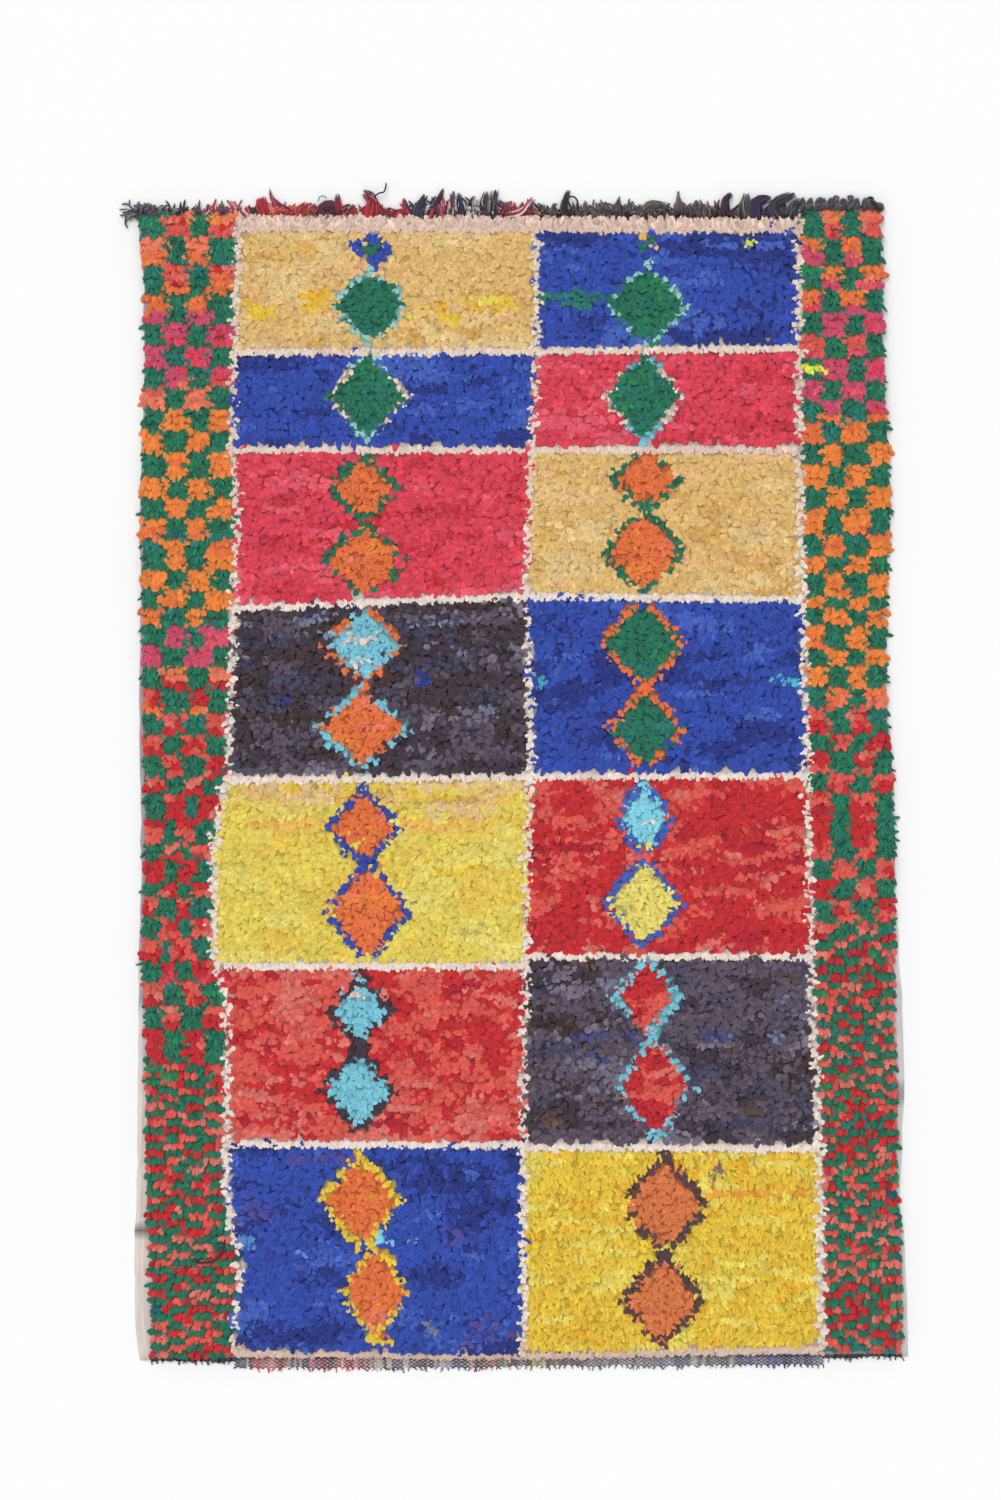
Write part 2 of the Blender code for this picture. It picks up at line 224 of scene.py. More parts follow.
Lozenge = namedtuple("Lozenge", "fill outline x y half_width half_height kept bulge")
LOZENGES = grouped(
    Lozenge,
    ("green", "aqua", [(-300, 958, 68, 66, 0.90, 1.30), (254, 962, 76, 74, 0.85, 1.25)]),
    ("green", "aqua cream", [(-304, 780, 78, 88, 0.90, 1.05)]),
    ("green", "sky cream", [(247, 776, 76, 88, 0.95, 1.10)]),
    ("orange", "green", [(-312, 596, 66, 64, 0.95, 1.15), (-310, 452, 76, 72, 0.95, 1.20),
        (252, 614, 68, 58, 0.95, 1.10), (246, 470, 76, 76, 0.95, 1.20)]),
    ("sky", "orange", [(-311, 284, 75, 78, 0.97, 1.10)]),
    ("orange", "sky", [(-314, 118, 90, 78, 0.75, 1.10)]),
    ("green", "orange", [(246, 286, 78, 82, 0.95, 1.20), (250, 114, 72, 78, 0.95, 1.15)]),
    ("orange", "blue", [(-312, -80, 68, 72, 1.0, 1.08), (-304, -246, 80, 98, 1.0, 1.08)]),
    ("sky_bright", "blue_bright", [(248, -62, 54, 74, 1.0, 1.15)]),
    ("lemon_soft", "blue_bright", [(247, -230, 76, 84, 1.0, 1.15)]),
    ("sky", "charcoal_dark", [(-319, -446, 65, 73, 1.0, 0.93), (-322, -604, 73, 93, 1.0, 0.93)]),
    ("red", "sky", [(254, -418, 66, 78, 0.95, 1.00), (268, -598, 74, 102, 0.95, 1.10)]),
    ("orange", "yellow", [(-318, -824, 75, 88, 1.0, 1.15), (-290, -1006, 58, 84, 0.95, 1.30)]),
    ("pumpkin", "umber", [(289, -832, 76, 92, 0.95, 1.20), (284, -1022, 76, 88, 0.95, 1.15)]),
)
FILL_REACH = 0.94
FINE_MOTIFS_ABOVE = 690.0  # the top four lozenges: thinner outlines and fuller fills
FINE_FILL_REACH = 1.03
FINE_COLOURS = ("aqua", "sky", "cream")
SIDE_REACH = 0.62  # of a lozenge's half height: where an outline of two colours has its second
TIP_GAP = 9.0  # from a lozenge's tips to the extra tooth past each

Bit = namedtuple("Bit", "colour x y half_width half_height cover")
BITS = grouped(
    Bit,
    ("yellow", [(-518, 950, 30, 12, 0.9)]), ("yellow_warm", [(-536, 962, 24, 8, 0.7)]),
    ("yellow", [(-460, 962, 20, 8, 0.8)]), ("gold", [(-407, 981, 28, 12, 0.8)]),
    ("yellow_warm", [(-412, 962, 34, 10, 0.8)]), ("yellow", [(-216, 946, 24, 10, 0.7)]),
    ("gold", [(-150, 958, 24, 10, 0.8)]),
    ("yellow", [(-134, 938, 24, 10, 0.9), (-84, 972, 32, 12, 0.8)]), ("gold", [(-68, 956, 34, 8, 0.7)]),
    ("yellow", [(-20, 970, 24, 16, 0.7)]), ("apricot", [(-425, 1068, 22, 9, 0.9)]),
    ("green_cool", [(101, 976, 64, 15, 1.0)]),
    ("grey_blue", [(-412, 339, 28, 11, 0.8), (-396, 307, 26, 8, 0.8), (-190, 329, 32, 9, 0.7),
        (-116, 335, 28, 11, 0.8), (-123, 267, 21, 9, 0.6)]),
    ("blue", [(-188, 217, 26, 9, 0.8)]), ("grey_blue", [(-83, 158, 41, 12, 0.6)]),
    ("brown", [(-183, 156, 59, 20, 0.7), (-440, 141, 56, 20, 0.8)]),
    ("charcoal_blue", [(-440, 210, 70, 12, 0.7)]), ("violet", [(-103, 93, 21, 8, 0.7)]),
    ("blue_dark", [(-457, 169, 17, 8, 0.8), (-450, 82, 12, 8, 0.8)]),
    ("blue_bright", [(348, 182, 60, 8, 0.9)]),
    ("turquoise", [(30, 208, 16, 14, 0.9), (524, 214, 28, 12, 0.9)]),
    ("ochre", [(-440, -8, 120, 34, 0.9), (-150, -8, 150, 34, 0.9)]),
    ("yellow", [(-459, -5, 19, 8, 0.8), (-352, -16, 24, 10, 0.8), (-190, -12, 88, 14, 0.7)]),
    ("ochre_pale", [(-122, -44, 78, 18, 0.8)]),
    ("apricot", [(-468, -72, 84, 11, 0.9), (-150, -76, 110, 16, 0.7)]),
    ("lemon_warm", [(-430, -108, 110, 16, 0.7)]), ("yellow", [(-120, -160, 52, 14, 0.9)]),
    ("lemon_warm", [(-480, -312, 60, 16, 0.8)]), ("orange", [(354, 16, 18, 8, 0.9)]),
    ("cream", [(250, -62, 9, 8, 1.0)]), ("yellow", [(246, -120, 9, 9, 1.0)]),
    ("cream", [(-320, -416, 10, 8, 1.0), (-320, 289, 42, 7, 0.9), (-312, 254, 22, 7, 0.9)]),
    ("violet", [(-408, -737, 67, 9, 0.8)]),
    ("teal", [(-735, -1040, 24, 12, 0.9), (774, -816, 40, 12, 0.8)]),
    ("violet", [(-532, -842, 42, 18, 0.7), (-144, -896, 24, 10, 0.8), (-62, -1094, 60, 20, 0.5)]),
    ("blue_dark", [(-462, -1098, 96, 18, 0.8), (-378, -968, 22, 20, 0.9)]),
    ("azure", [(-548, -906, 22, 9, 0.9)]), ("sky", [(-266, -901, 12, 9, 0.9)]),
    ("turquoise", [(-218, -902, 12, 9, 0.8)]), ("azure", [(-438, -924, 11, 8, 0.9)]),
    ("grey_blue", [(-178, -1076, 14, 10, 0.9), (-420, -1036, 10, 10, 0.9)]),
    ("marigold", [(476, -806, 96, 9, 0.9)]), ("grey", [(394, -766, 14, 9, 0.9)]),
    ("slate", [(142, -499, 30, 9, 0.9), (220, -499, 22, 9, 0.8), (152, -540, 25, 12, 0.8),
        (401, -495, 37, 10, 0.9)]),
    ("grey_blue", [(164, -396, 16, 9, 0.8), (62, -383, 10, 9, 0.9), (522, -434, 14, 10, 0.9),
        (506, -491, 14, 10, 0.9)]),
    ("brown_light", [(451, -647, 37, 10, 0.9), (425, -612, 14, 9, 0.9), (553, -392, 14, 9, 0.8),
        (420, -522, 18, 10, 0.7), (62, -658, 20, 15, 0.7), (137, -352, 24, 9, 0.8)]),
    ("lime", [(588, 834, 24, 7, 1.0)]),
)

# Single knots that are drawn one by one: the cross, and the small marks

Mark = namedtuple("Mark", "colour x y")
MARKS = grouped(
    Mark,
    ("blue", [(-300, 1096), (-293, 1084), (-326, 1086), (-314, 1074), (-266, 1084), (-292, 1040)]),
    ("green", [(-296, 1072)]),
    ("blue", [(-286, 1094), (-330, 1078), (-322, 1068), (-262, 1078), (-272, 1066)]),
    ("green", [(-306, 1078), (-304, 1064), (-284, 1078)]),
    ("blue", [(-288, 1062), (-298, 1048), (-284, 1050)]), ("aqua", [(-296, 1034)]),
    ("apricot", [(246, 1100)]), ("green", [(244, 1086), (258, 1088), (248, 1074)]),
    ("apricot", [(266, 1078)]), ("aqua", [(260, 1054)]), ("lime", [(458, 1088)]),
    ("yellow", [(-296, -1094), (-280, -1102), (-268, -1110), (-258, -1104)]),
    ("orange", [(-274, -1090)]),
)

# Borders: the two colours that each row of accent checks mixes, and the rows' tops. A top that
# comes twice is a row of no height: it moves the next one's checks by a column.

Checks = namedtuple("Checks", "top upper lower")


def check_rows(*groups):
    return [Checks(top, upper, lower) for upper, lower, tops in groups for top in tops]


LEFT_CHECKS = check_rows(
    ("salmon", "coral", [1148]), ("salmon", "orange", [1096]), ("coral", "orange", [1042]),
    ("orange", "magenta", [982]), ("magenta", "pink", [926]), ("magenta", "magenta", [880]),
    ("magenta", "salmon", [838]), ("salmon", "salmon", [798]),
    ("amber", "amber", [756, 710, 670, 618, 574, 536, 494, 434, 396, 358]),
    ("magenta", "magenta", [322, 282]), ("salmon", "red", [242]), ("red", "orange", [196]),
    ("coral", "red", [148, 106]), ("red", "coral", [66]), ("coral", "red", [22]), ("red", "red", [-14]),
    ("red", "coral", [-62]), ("coral", "coral", [-112]), ("red", "red", [-146]),
    ("red", "coral", [-188]), ("coral", "red", [-218]), ("coral", "coral", [-260, -298]),
    ("red", "pink", [-346]), ("coral", "red", [-388, -436]), ("red", "red", [-484]),
)
LEFT_DASHES_TOP = -536
LEFT_RED_DASHES = [-13, -16, -29, -39]  # these rows of them, numbered downwards from -1
RIGHT_CHECKS = check_rows(
    ("salmon", "coral", [1167]), ("orange", "magenta", [1096, 1042, 992]),
    ("magenta", "magenta", [946]), ("coral", "magenta", [902]), ("magenta", "magenta", [856, 812]),
    ("magenta", "orange", [770]),
    ("amber", "amber", [730, 688, 644, 600, 556, 504, 462, 428, 380, 358, 322, 278, 242]),
    ("orange", "salmon", [200]), ("coral", "red", [160]), ("red", "coral", [108, 72]),
    ("coral", "red", [28, -10]), ("red", "coral", [-64, -64]), ("coral", "coral", [-144]),
    ("red", "coral", [-182, -222]), ("coral", "coral", [-270]),
)
RIGHT_DASHES_TOP = -292
RISEN_CHECKS_ABOVE = 1124.0  # on the right, over the foot of the cords
CHECK_COLUMNS = 4
CHECK_SLIP = 0.16  # of a check's width, to either side
MIX_ABOVE = 0.58  # of the way down a row of checks: where its lower colour starts
DASHES = {"left": 4, "right": 5}  # across each border
DASH_PITCH = 15.5
DASH_SLIP = 0.26  # of a dash's width, to either side
RED_BELOW = -0.25  # of the dashes' noise from -1 to 1
ROSE_ABOVE = 0.42
LEFT_SLANT = -125  # of the left dashes' rags, near the bottom
LEFT_SLANT_BELOW = -870.0
CHECK_KNOT = 12.6
CHECK_TURN = 32  # of the rags at a check's two sides, outwards

PILE_SINK = 3.0  # of a knot under the pile's top: each flap lies over the next row's knots
FLAP_FOOT_SINK = 1.0
FLAP_CREASE = 0.17  # of a flap's width: how high its lengthwise fold stands
BED_SINKS = {"cotton_rag": 1.2, "jersey_rag": 2.0, "wool_rag": 3.3}
# Painted shade: the bed under the flaps takes its knots' colours this much darker, for the crevices
# between the rags
BED_PAINTED_SHADE = 0.66
BED_STEP = 12.0
BED_ABOVE = 10  # the bed is only where the solid is higher than this
LOWEST = 0.8
HIGHEST = 33.0


def metres(points):
    """Frame places, in metres, of design places in millimetres."""
    return (np.asarray(points, float) - (BOX_MIDDLE_X, BOX_MIDDLE_Y, 0)) * MM


def at_height(listed, column, y):
    """The values of one column of a table, at each y."""
    ordered = sorted(listed, key=lambda row: row.y)
    return np.interp(y, [row.y for row in ordered], [getattr(row, column) for row in ordered])


def left_edge(y):
    return at_height(OUTLINE, "left", y)


def right_edge(y):
    return at_height(OUTLINE, "right", y)


def line_x(name, y):
    """Where a lengthwise cream line runs at each y."""
    return at_height(CREAM_LINES, name, y)


def end_y(x, left, right):
    """An end of the pile at each x, from its heights at the two sides."""
    share = (np.asarray(x, float) + PILE_MIDDLE_HALF) / (2 * PILE_MIDDLE_HALF)
    return left + (right - left) * share


def lattice(column, row, seed):
    """One repeatable value from -1 to 1 for each whole-number place."""
    mixed = (column * 374761393 + row * 668265263 + seed * 362437) & 0xFFFFFFFF
    mixed = ((mixed ^ (mixed >> 13)) * 1274126177) & 0xFFFFFFFF
    return ((mixed ^ (mixed >> 16)) & 0xFFFF) / 32767.5 - 1


def noise(x, y, width, height, seed):
    """Smooth noise from -1 to 1 whose patches are about width by height."""
    across, up = np.asarray(x, float) / width, np.asarray(y, float) / height
    column, row = np.floor(across).astype(np.int64), np.floor(up).astype(np.int64)
    u, v = across - column, up - row
    u, v = u * u * (3 - 2 * u), v * v * (3 - 2 * v)
    low = lattice(column, row, seed) * (1 - u) + lattice(column + 1, row, seed) * u
    high = lattice(column, row + 1, seed) * (1 - u) + lattice(column + 1, row + 1, seed) * u
    return low * (1 - v) + high * v


class Heights:
    """The top of the CAD pile above the floor, in millimetres, measured on a grid."""

    def __init__(self, body):
        corners = [tuple(v.co) for v in body.data.vertices]
        tree = BVHTree.FromPolygons(corners, [tuple(p.vertices) for p in body.data.polygons])
        self.x0, self.y0 = HEIGHT_CORNER
        columns = int(-2 * self.x0 / HEIGHT_STEP)
        rows = int(-2 * self.y0 / HEIGHT_STEP)
        self.grid = np.zeros((rows, columns))
        down = Vector((0, 0, -1))
        for row in range(rows):
            for column in range(columns):
                place = (self.x0 + column * HEIGHT_STEP, self.y0 + row * HEIGHT_STEP, 0)
                start = Vector(metres(place)) + Vector((0, 0, RAY_START))
                hit = tree.ray_cast(start, down)[0]
                self.grid[row, column] = hit.z / MM if hit else 0.0

    def at(self, x, y):
        rows, columns = self.grid.shape
        across = np.clip((x - self.x0) / HEIGHT_STEP, 0, columns - 1.001)
        up = np.clip((y - self.y0) / HEIGHT_STEP, 0, rows - 1.001)
        column, row = across.astype(int), up.astype(int)
        u, v = across - column, up - row
        low = self.grid[row, column] * (1 - u) + self.grid[row, column + 1] * u
        high = self.grid[row + 1, column] * (1 - u) + self.grid[row + 1, column + 1] * u
        return low * (1 - v) + high * v


heights = Heights(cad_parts["rug_body"])


# The design: which colour each knot has


def top_share(values, share):
    """True for that share of the values, the highest ones."""
    return values > np.quantile(values, 1 - share) if len(values) else values > 0


def dye(names, x, y, seed, mixing=1.0):
    """Splits each plain colour into its dye lots, in streaks along the knot rows."""
    dyed = names
    for plain, lots in LOTS.items():
        here = names == CODE[plain]
        long, tall = PATCH_SIZES.get(plain, LOT_SIZE)
        for number, (lot, share) in enumerate(lots.items()):
            streaks = noise(x, y, long, tall, seed + 11 * number)
            streaks = streaks + 0.4 * noise(x, y, 16, 15, seed + 11 * number + 5)
            chosen = here.copy()
            chosen[here] = top_share(streaks[here], share * mixing)
            dyed = np.where(chosen, CODE[lot], dyed)
    return dyed


def paint_lozenges(names, x, y):
    """The fills of the lozenges, and where they are: their outlines are teeth of their own."""
    motif = np.zeros(len(x), bool)
    for spot in LOZENGES:
        ragged = 0.05 * noise(x, y, 22, 18, int(spot.x) + 900)
        across, up = np.abs(x - spot.x) / spot.half_width, np.abs(y - spot.y) / spot.half_height
        reach = FINE_FILL_REACH if spot.y > FINE_MOTIFS_ABOVE else FILL_REACH
        inside = (across ** spot.bulge + up ** spot.bulge) ** (1 / spot.bulge) + ragged < reach
        names = np.where(inside, CODE[spot.fill], names)
        motif |= inside
    return names, motif


def tooth_places(rng):
    """The knots of the lozenges' outlines, in steps, and the single marks: x, y and colour."""
    found = [(mark.x, mark.y, CODE[mark.colour]) for mark in MARKS]
    for spot in LOZENGES:
        steps = round(math.hypot(spot.half_width, spot.half_height) / TOOTH_PITCH)
        for up in (1, -1):
            for step in range(steps):
                share = step / steps
                for side in ((1, -1) if step else (0,)):
                    wide = side * spot.half_width * share ** (1 / spot.bulge)
                    tall = up * spot.half_height * (1 - share) ** (1 / spot.bulge)
                    found.append((spot.x + wide, spot.y + tall, spot))
            found.append((spot.x, spot.y + up * (spot.half_height + TIP_GAP), spot))
        for side in (1, -1):
            found.append((spot.x + side * spot.half_width, spot.y, spot))
    kept = []
    for x, y, what in found:
        if isinstance(what, Lozenge):
            lines = [crossing_y(number, np.array([x]))[0] for number in range(len(CROSSINGS))]
            if rng.random() > what.kept or min(abs(y - line) for line in lines) < LINE_HALF + 5:
                continue
            tip, *side = what.outline.split()
            far = abs(y - what.y) / what.half_height
            what = CODE[side[0] if side and far < SIDE_REACH else tip]
        kept.append((x + rng.normal(0, 1.5), y + rng.normal(0, 1.5), what))
    x, y, colour = zip(*kept)
    return np.array(x), np.array(y), np.array(colour)


def paint_bits(names, x, y, rng):
    """The stray patches of other colours."""
    for number, bit in enumerate(BITS):
        far = ((x - bit.x) / bit.half_width) ** 2 + ((y - bit.y) / bit.half_height) ** 2
        far = far + 0.35 * noise(x, y, 30, 14, 700 + number)
        here = (far < 1) & (rng.random(len(x)) < bit.cover)
        names = np.where(here, CODE[bit.colour], names)
    return names


def crossing_y(number, x):
    """The height of one line across, at each x."""
    row = CROSSINGS[number]
    left = line_x("left", row.left_outer)
    centre = line_x("centre", row.left_inner)
    right = line_x("right", row.right_outer)
    places = [left, centre - 1, centre + 1, right]
    return np.interp(x, places, [row.left_outer, row.left_inner, row.right_inner, row.right_outer])


def line_half(number):
    return TOP_BAND_HALF if number == 0 else LINE_HALF


# Knots: where the rags are tied, and what each one is

Knots = namedtuple("Knots", "x y colour rag lean region")
REGIONS = [panel.name for panel in PANELS] + ["border_left", "border_right", "lines"]
RAG_CODE = {name: number for number, name in enumerate(RAGS)}
LEAN_DRIFT = 38  # degrees that the rags of a patch lean apart from the rest


def fill_panel(number, rng):
    """Knots of one panel, in staggered rows that follow the cream lines above and below it."""
    level = number % PANELS_DEEP
    low_side, high_side = ("left", "centre") if number < PANELS_DEEP else ("centre", "right")
    middle = PANEL_MIDDLES[number // PANELS_DEEP]
    top_y = crossing_y(level, np.array([middle]))[0] - line_half(level)
    low_y = crossing_y(level + 1, np.array([middle]))[0] + LINE_HALF
    wide = line_x(high_side, low_y) - line_x(low_side, low_y) - 2 * LINE_HALF
    rows = round((top_y - low_y) / ROW_PITCH)
    columns = round(wide / KNOT_PITCH)
    v, u = np.meshgrid((np.arange(rows) + 0.5) / rows, (np.arange(columns) + 0.5) / columns,
                       indexing="ij")
    u = u + np.where(np.arange(rows) % 2, 0.25, -0.25)[:, None] / columns
    v, u = v.ravel(), u.ravel()
    y = low_y + (top_y - low_y) * v
    low_x, high_x = line_x(low_side, y) + LINE_HALF, line_x(high_side, y) - LINE_HALF
    x = low_x + (high_x - low_x) * u + rng.normal(0, PANEL_SCATTER[0], len(u))
    low, high = crossing_y(level + 1, x) + LINE_HALF, crossing_y(level, x) - line_half(level)
    y = low + (high - low) * v + ROW_WAVE * noise(x, v * 900, 130, 70, 31)
    y = y + rng.normal(0, PANEL_SCATTER[1], len(u))
    return x, y, np.full(len(x), number)


def tooth_knots(rng):
    """Knots of the outlines and the marks, each in the piece of its panel."""
    x, y, colour = tooth_places(rng)
    lean = -90 + rng.normal(0, 12, len(x))
    fine = (y > FINE_MOTIFS_ABOVE) & np.isin(colour, [CODE[name] for name in FINE_COLOURS])
    rag = np.where(fine, RAG_CODE["nib"], RAG_CODE["tooth"])
    panel = np.zeros(len(x), int)
    for number in range(1, PANELS_DEEP):
        panel += y < crossing_y(number, x)
    panel += np.where(x > line_x("centre", y), PANELS_DEEP, 0)
    return Knots(x, y, colour, rag, lean, panel)


def with_room_for(teeth, knots):
    """The knots that aren't in a tooth's place."""
    clear = np.ones(len(knots.x), bool)
    for x, y in zip(teeth.x, teeth.y):
        clear &= np.hypot((knots.x - x), (knots.y - y)) > TOOTH_CLEAR
    return pick(knots, clear)


def panel_knots(rng):
    """Knots of all panels, with the lozenges and their outlines."""
    teeth = tooth_knots(rng)
    x, y, region = joined([fill_panel(number, rng) for number in range(len(PANELS))])
    ground = np.array([CODE[panel.ground] for panel in PANELS])[region]
    rag = np.array([RAG_CODE[panel.rag] for panel in PANELS])[region]
    lean = np.array([float(panel.lean) for panel in PANELS])[region]
    colour, motif = paint_lozenges(ground, x, y)
    colour = paint_bits(colour, x, y, rng)
    rag = np.where(motif, RAG_CODE["motif"], rag)
    lean = lean + LEAN_DRIFT * noise(x, y, 70, 60, 77)
    filled = Knots(x, y, dye(colour, x, y, 300), rag, lean, region)
    return join_knots([with_room_for(teeth, filled), teeth])


def border_rows(checks, dashes_top, bottom):
    """Each knot row of a border: its y, its row of checks, and how far down that row it is.

    The rows of dashes are numbered from -1 downwards.
    """
    tops = [row.top for row in checks] + [dashes_top]
    found = []
    for number in range(len(checks)):
        tall = tops[number] - tops[number + 1]
        count = max(1, round(tall / ROW_PITCH)) if tall else 0
        for place in range(count):
            share = (place + 0.5) / count
            found.append((tops[number] - tall * share, number, share))
    y, dash = dashes_top - DASH_PITCH / 2, 0
    while y > bottom:
        found.append((y, -1 - dash, 0.5))
        y -= DASH_PITCH
        dash += 1
    return found


def check_row(row, number, share, u, x, y, level, region):
    """One knot row of the checks: which rags are accents, their colours and their turns."""
    column = np.floor(u * CHECK_COLUMNS + CHECK_SLIP * noise(x, level, 30, 38, 41 + region))
    column = np.clip(column, 0, CHECK_COLUMNS - 1)
    mixed = share + 0.35 * noise(x, y, 26, 20, 57) > MIX_ABOVE
    paint = np.where(mixed, CODE[row.lower], CODE[row.upper])
    middle = (column + 0.5) / CHECK_COLUMNS
    turn = -90 + CHECK_TURN * (u - middle) * CHECK_COLUMNS * 2
    return (column + number) % 2 > 0.5, paint, turn


def dash_row(side, number, u, x, y, level):
    """One knot row of the dashes, in the same three parts."""
    slip = DASH_SLIP * noise(x * 0 + number * 37.0, level, 29, 13, 93)
    slip = slip + 0.10 * noise(x, level, 40, 15, 95)
    column = np.floor(u * DASHES[side] + slip)
    mood = noise(x, y, 60, 22, 61)
    paint = np.where(mood > RED_BELOW, CODE["coral"], CODE["red"])
    paint = np.where(mood > ROSE_ABOVE, CODE["rose"], paint)
    if side == "left" and number in LEFT_RED_DASHES:
        paint[:] = CODE["red"]
    slant = LEFT_SLANT if side == "left" and level[0] <= LEFT_SLANT_BELOW else -90
    return (column + number) % 2 > 0.5, paint, slant + 14 * noise(x, y, 60, 40, 63)


def border_knots(side, checks, dashes_top, rng):
    """Knots of a side border: checks in blocks, and staggered dashes lower down."""
    region = REGIONS.index("border_" + side)
    bottom = (PILE_BOTTOM_LEFT_Y if side == "left" else PILE_BOTTOM_RIGHT_Y) + 4
    made = []
    for row_y, number, share in border_rows(checks, dashes_top, bottom):
        if side == "left":
            low, high = left_edge(row_y) + 2, line_x("left", row_y) - LINE_HALF + 1
        else:
            low, high = line_x("right", row_y) + LINE_HALF - 1, right_edge(row_y) - 2
        count = int(round((high - low) / CHECK_KNOT))
        u = (np.arange(count) + 0.5) / count
        x = low + (high - low) * u + rng.normal(0, BORDER_SCATTER[0], count)
        level = row_y + 0 * x
        y = row_y + rng.normal(0, BORDER_SCATTER[1], count) + ROW_WAVE * noise(x, level, 60, 50, 5)
        if number >= 0:
            accent, paint, turn = check_row(checks[number], number, share, u, x, y, level, region)
            rag = np.where(accent, RAG_CODE["check"], RAG_CODE["sprig"])
        else:
            accent, paint, turn = dash_row(side, number, u, x, y, level)
            rag = np.full(count, RAG_CODE["comb"])
        turn = np.where((side == "right") & (y > RISEN_CHECKS_ABOVE), 90, turn)
        made.append((x, y, np.where(accent, paint, CODE["green"]), rag, turn))
    x, y, colour, rag, lean = joined(made)
    colour = dye(paint_bits(colour, x, y, rng), x, y, 400 + region, BORDER_MIXING)
    return Knots(x, y, colour, rag, lean, np.full(len(x), region))


def line_knots(region, rng):
    """Knots of the cream lines: those lengthwise in a zigzag, and the top band pointing up."""
    made = []
    ups = np.arange(PILE_BOTTOM_LEFT_Y + 12, PILE_TOP_LEFT_Y - 14, ZIGZAG_PITCH)
    for name, jag in ZIGZAG.items():
        if name == "left":
            ups = ups[[all(abs(up - gap) > LINE_GAP for gap in LEFT_LINE_GAPS) for up in ups]]
        count = len(ups)
        side = np.where(np.arange(count) % 2, 1, -1)
        x = line_x(name, ups) + (side * jag + rng.normal(0, ZIGZAG_SCATTER[0], count))
        y = ups + rng.normal(0, ZIGZAG_SCATTER[1], count)
        lean = -90 + side * ZIGZAG_TURN + rng.normal(0, 12, count)
        made.append((x, y, np.full(count, RAG_CODE["leaf"]), lean))
    spans = np.arange(line_x("left", 0) + 4, line_x("right", -1000) - 4, LINE_PITCH)
    for number in range(len(CROSSINGS)):
        for offset in TOP_BAND_ROWS if number == 0 else (0,):
            level = crossing_y(number, spans) + offset
            here = (spans > line_x("left", level) + 2) & (spans < line_x("right", level) - 2)
            count = here.sum()
            x = spans[here] + rng.normal(0, LINE_SCATTER[0], count)
            y = level[here] + rng.normal(0, LINE_SCATTER[1], count)
            lean = (90 if offset > 0 else -90) + rng.normal(0, 9, count)
            made.append((x, y, np.full(count, RAG_CODE["petal" if offset > 0 else "hem"]), lean))
    x, y, rag, lean = joined(made)
    colour = np.where(y < LIGHTER_LINES_BELOW, CODE["cream_white"], CODE["cream"])
    colour = np.where(np.abs(y) > BEIGE_LINES_PAST, CODE["beige"], colour)
    return Knots(x, y, dye(colour, x, y, 500), rag, lean, np.full(len(x), region))


def joined(groups):
    """Groups of matching arrays as one group."""
    return [np.concatenate(parts) for parts in zip(*groups)]


def join_knots(groups):
    return Knots(*joined(groups))


def pick(knots, chosen):
    return Knots(*[part[chosen] for part in knots])


def all_knots():
    """Every knot, moved so that its flaps show where its colour belongs."""
    rng = np.random.default_rng(SEED)
    knots = join_knots([
        panel_knots(rng),
        border_knots("left", LEFT_CHECKS, LEFT_DASHES_TOP, rng),
        border_knots("right", RIGHT_CHECKS, RIGHT_DASHES_TOP, rng),
        line_knots(REGIONS.index("lines"), rng),
    ])
    angle = np.radians(knots.lean)
    shift = np.array([visible_shift(rag) for rag in RAGS.values()])[knots.rag]
    x = knots.x - shift * np.cos(angle)
    y = knots.y - shift * np.sin(angle)
    x = np.clip(x, left_edge(y) + EDGE_INSET, right_edge(y) - EDGE_INSET)
    low = end_y(x, PILE_BOTTOM_LEFT_Y, PILE_BOTTOM_RIGHT_Y) + END_INSET
    high = end_y(x, PILE_TOP_LEFT_Y, PILE_TOP_RIGHT_Y) - END_INSET
    y = np.clip(y, low, high)
    return knots._replace(x=x, y=y, lean=outward_lean(x, y, knots.lean))


def visible_shift(rag):
    """How far from its knot a kind of rag shows, the less the wider its flaps are spread."""
    scatter = math.radians(math.hypot(rag.spread / math.sqrt(12), rag.wander))
    return VISIBLE_SHIFT * rag.length * math.exp(-scatter ** 2 / 2)


def outward_lean(x, y, lean):
    """Turns the rags at the pile's rim outwards, so that they hang over it."""
    out_left = np.clip(1 - (x - left_edge(y)) / RIM, 0, 1)
    out_right = np.clip(1 - (right_edge(y) - x) / RIM, 0, 1)
    out_top = np.clip(1 - (end_y(x, PILE_TOP_LEFT_Y, PILE_TOP_RIGHT_Y) - y) / RIM, 0, 1)
    angle = np.radians(lean)
    way_x = np.cos(angle) + OUT_AT_SIDES * (out_right - out_left)
    way_y = np.sin(angle) + OUT_AT_TOP * out_top
    return np.degrees(np.arctan2(way_y, way_x))


# Flaps: the cut ends of the rags, as closed creased strips

RINGS = 2
POINTS_A_FLAP = 3 * RINGS + 2
FACES_A_FLAP = 9
RING_REACH = (0.0, 0.34, 0.82, 1.0)  # the first one is the root and the last one the tip
# Painted shade along each flap: darkest at the root, where it goes down among the other flaps, and a
# little lighter where it stands highest
PAINTED_SHADE_ALONG = [0.74] + [0.92] * 3 + [1.02] * 3 + [1.0]  # of a flap's corners, from its root: painted shade
LENGTHS = (0.72, 1.25)  # of a rag's usual length
WIDTHS = (0.72, 1.28)
RISES = (0.3, 1.2)  # of its usual lift
LEAST_REACH = 0.45  # of a flap's length, over the floor
ROOT_SCATTER = (2.2, 1.8)  # of a flap's root from its knot, across and lengthwise
BEND = 16  # degrees
TWIST = 14
KNOT_UNEVEN = 0.05  # of the colour, from knot to knot
TINT_DRIFT = 0.025
SHADE_LIMITS = (0.6, 1.45)


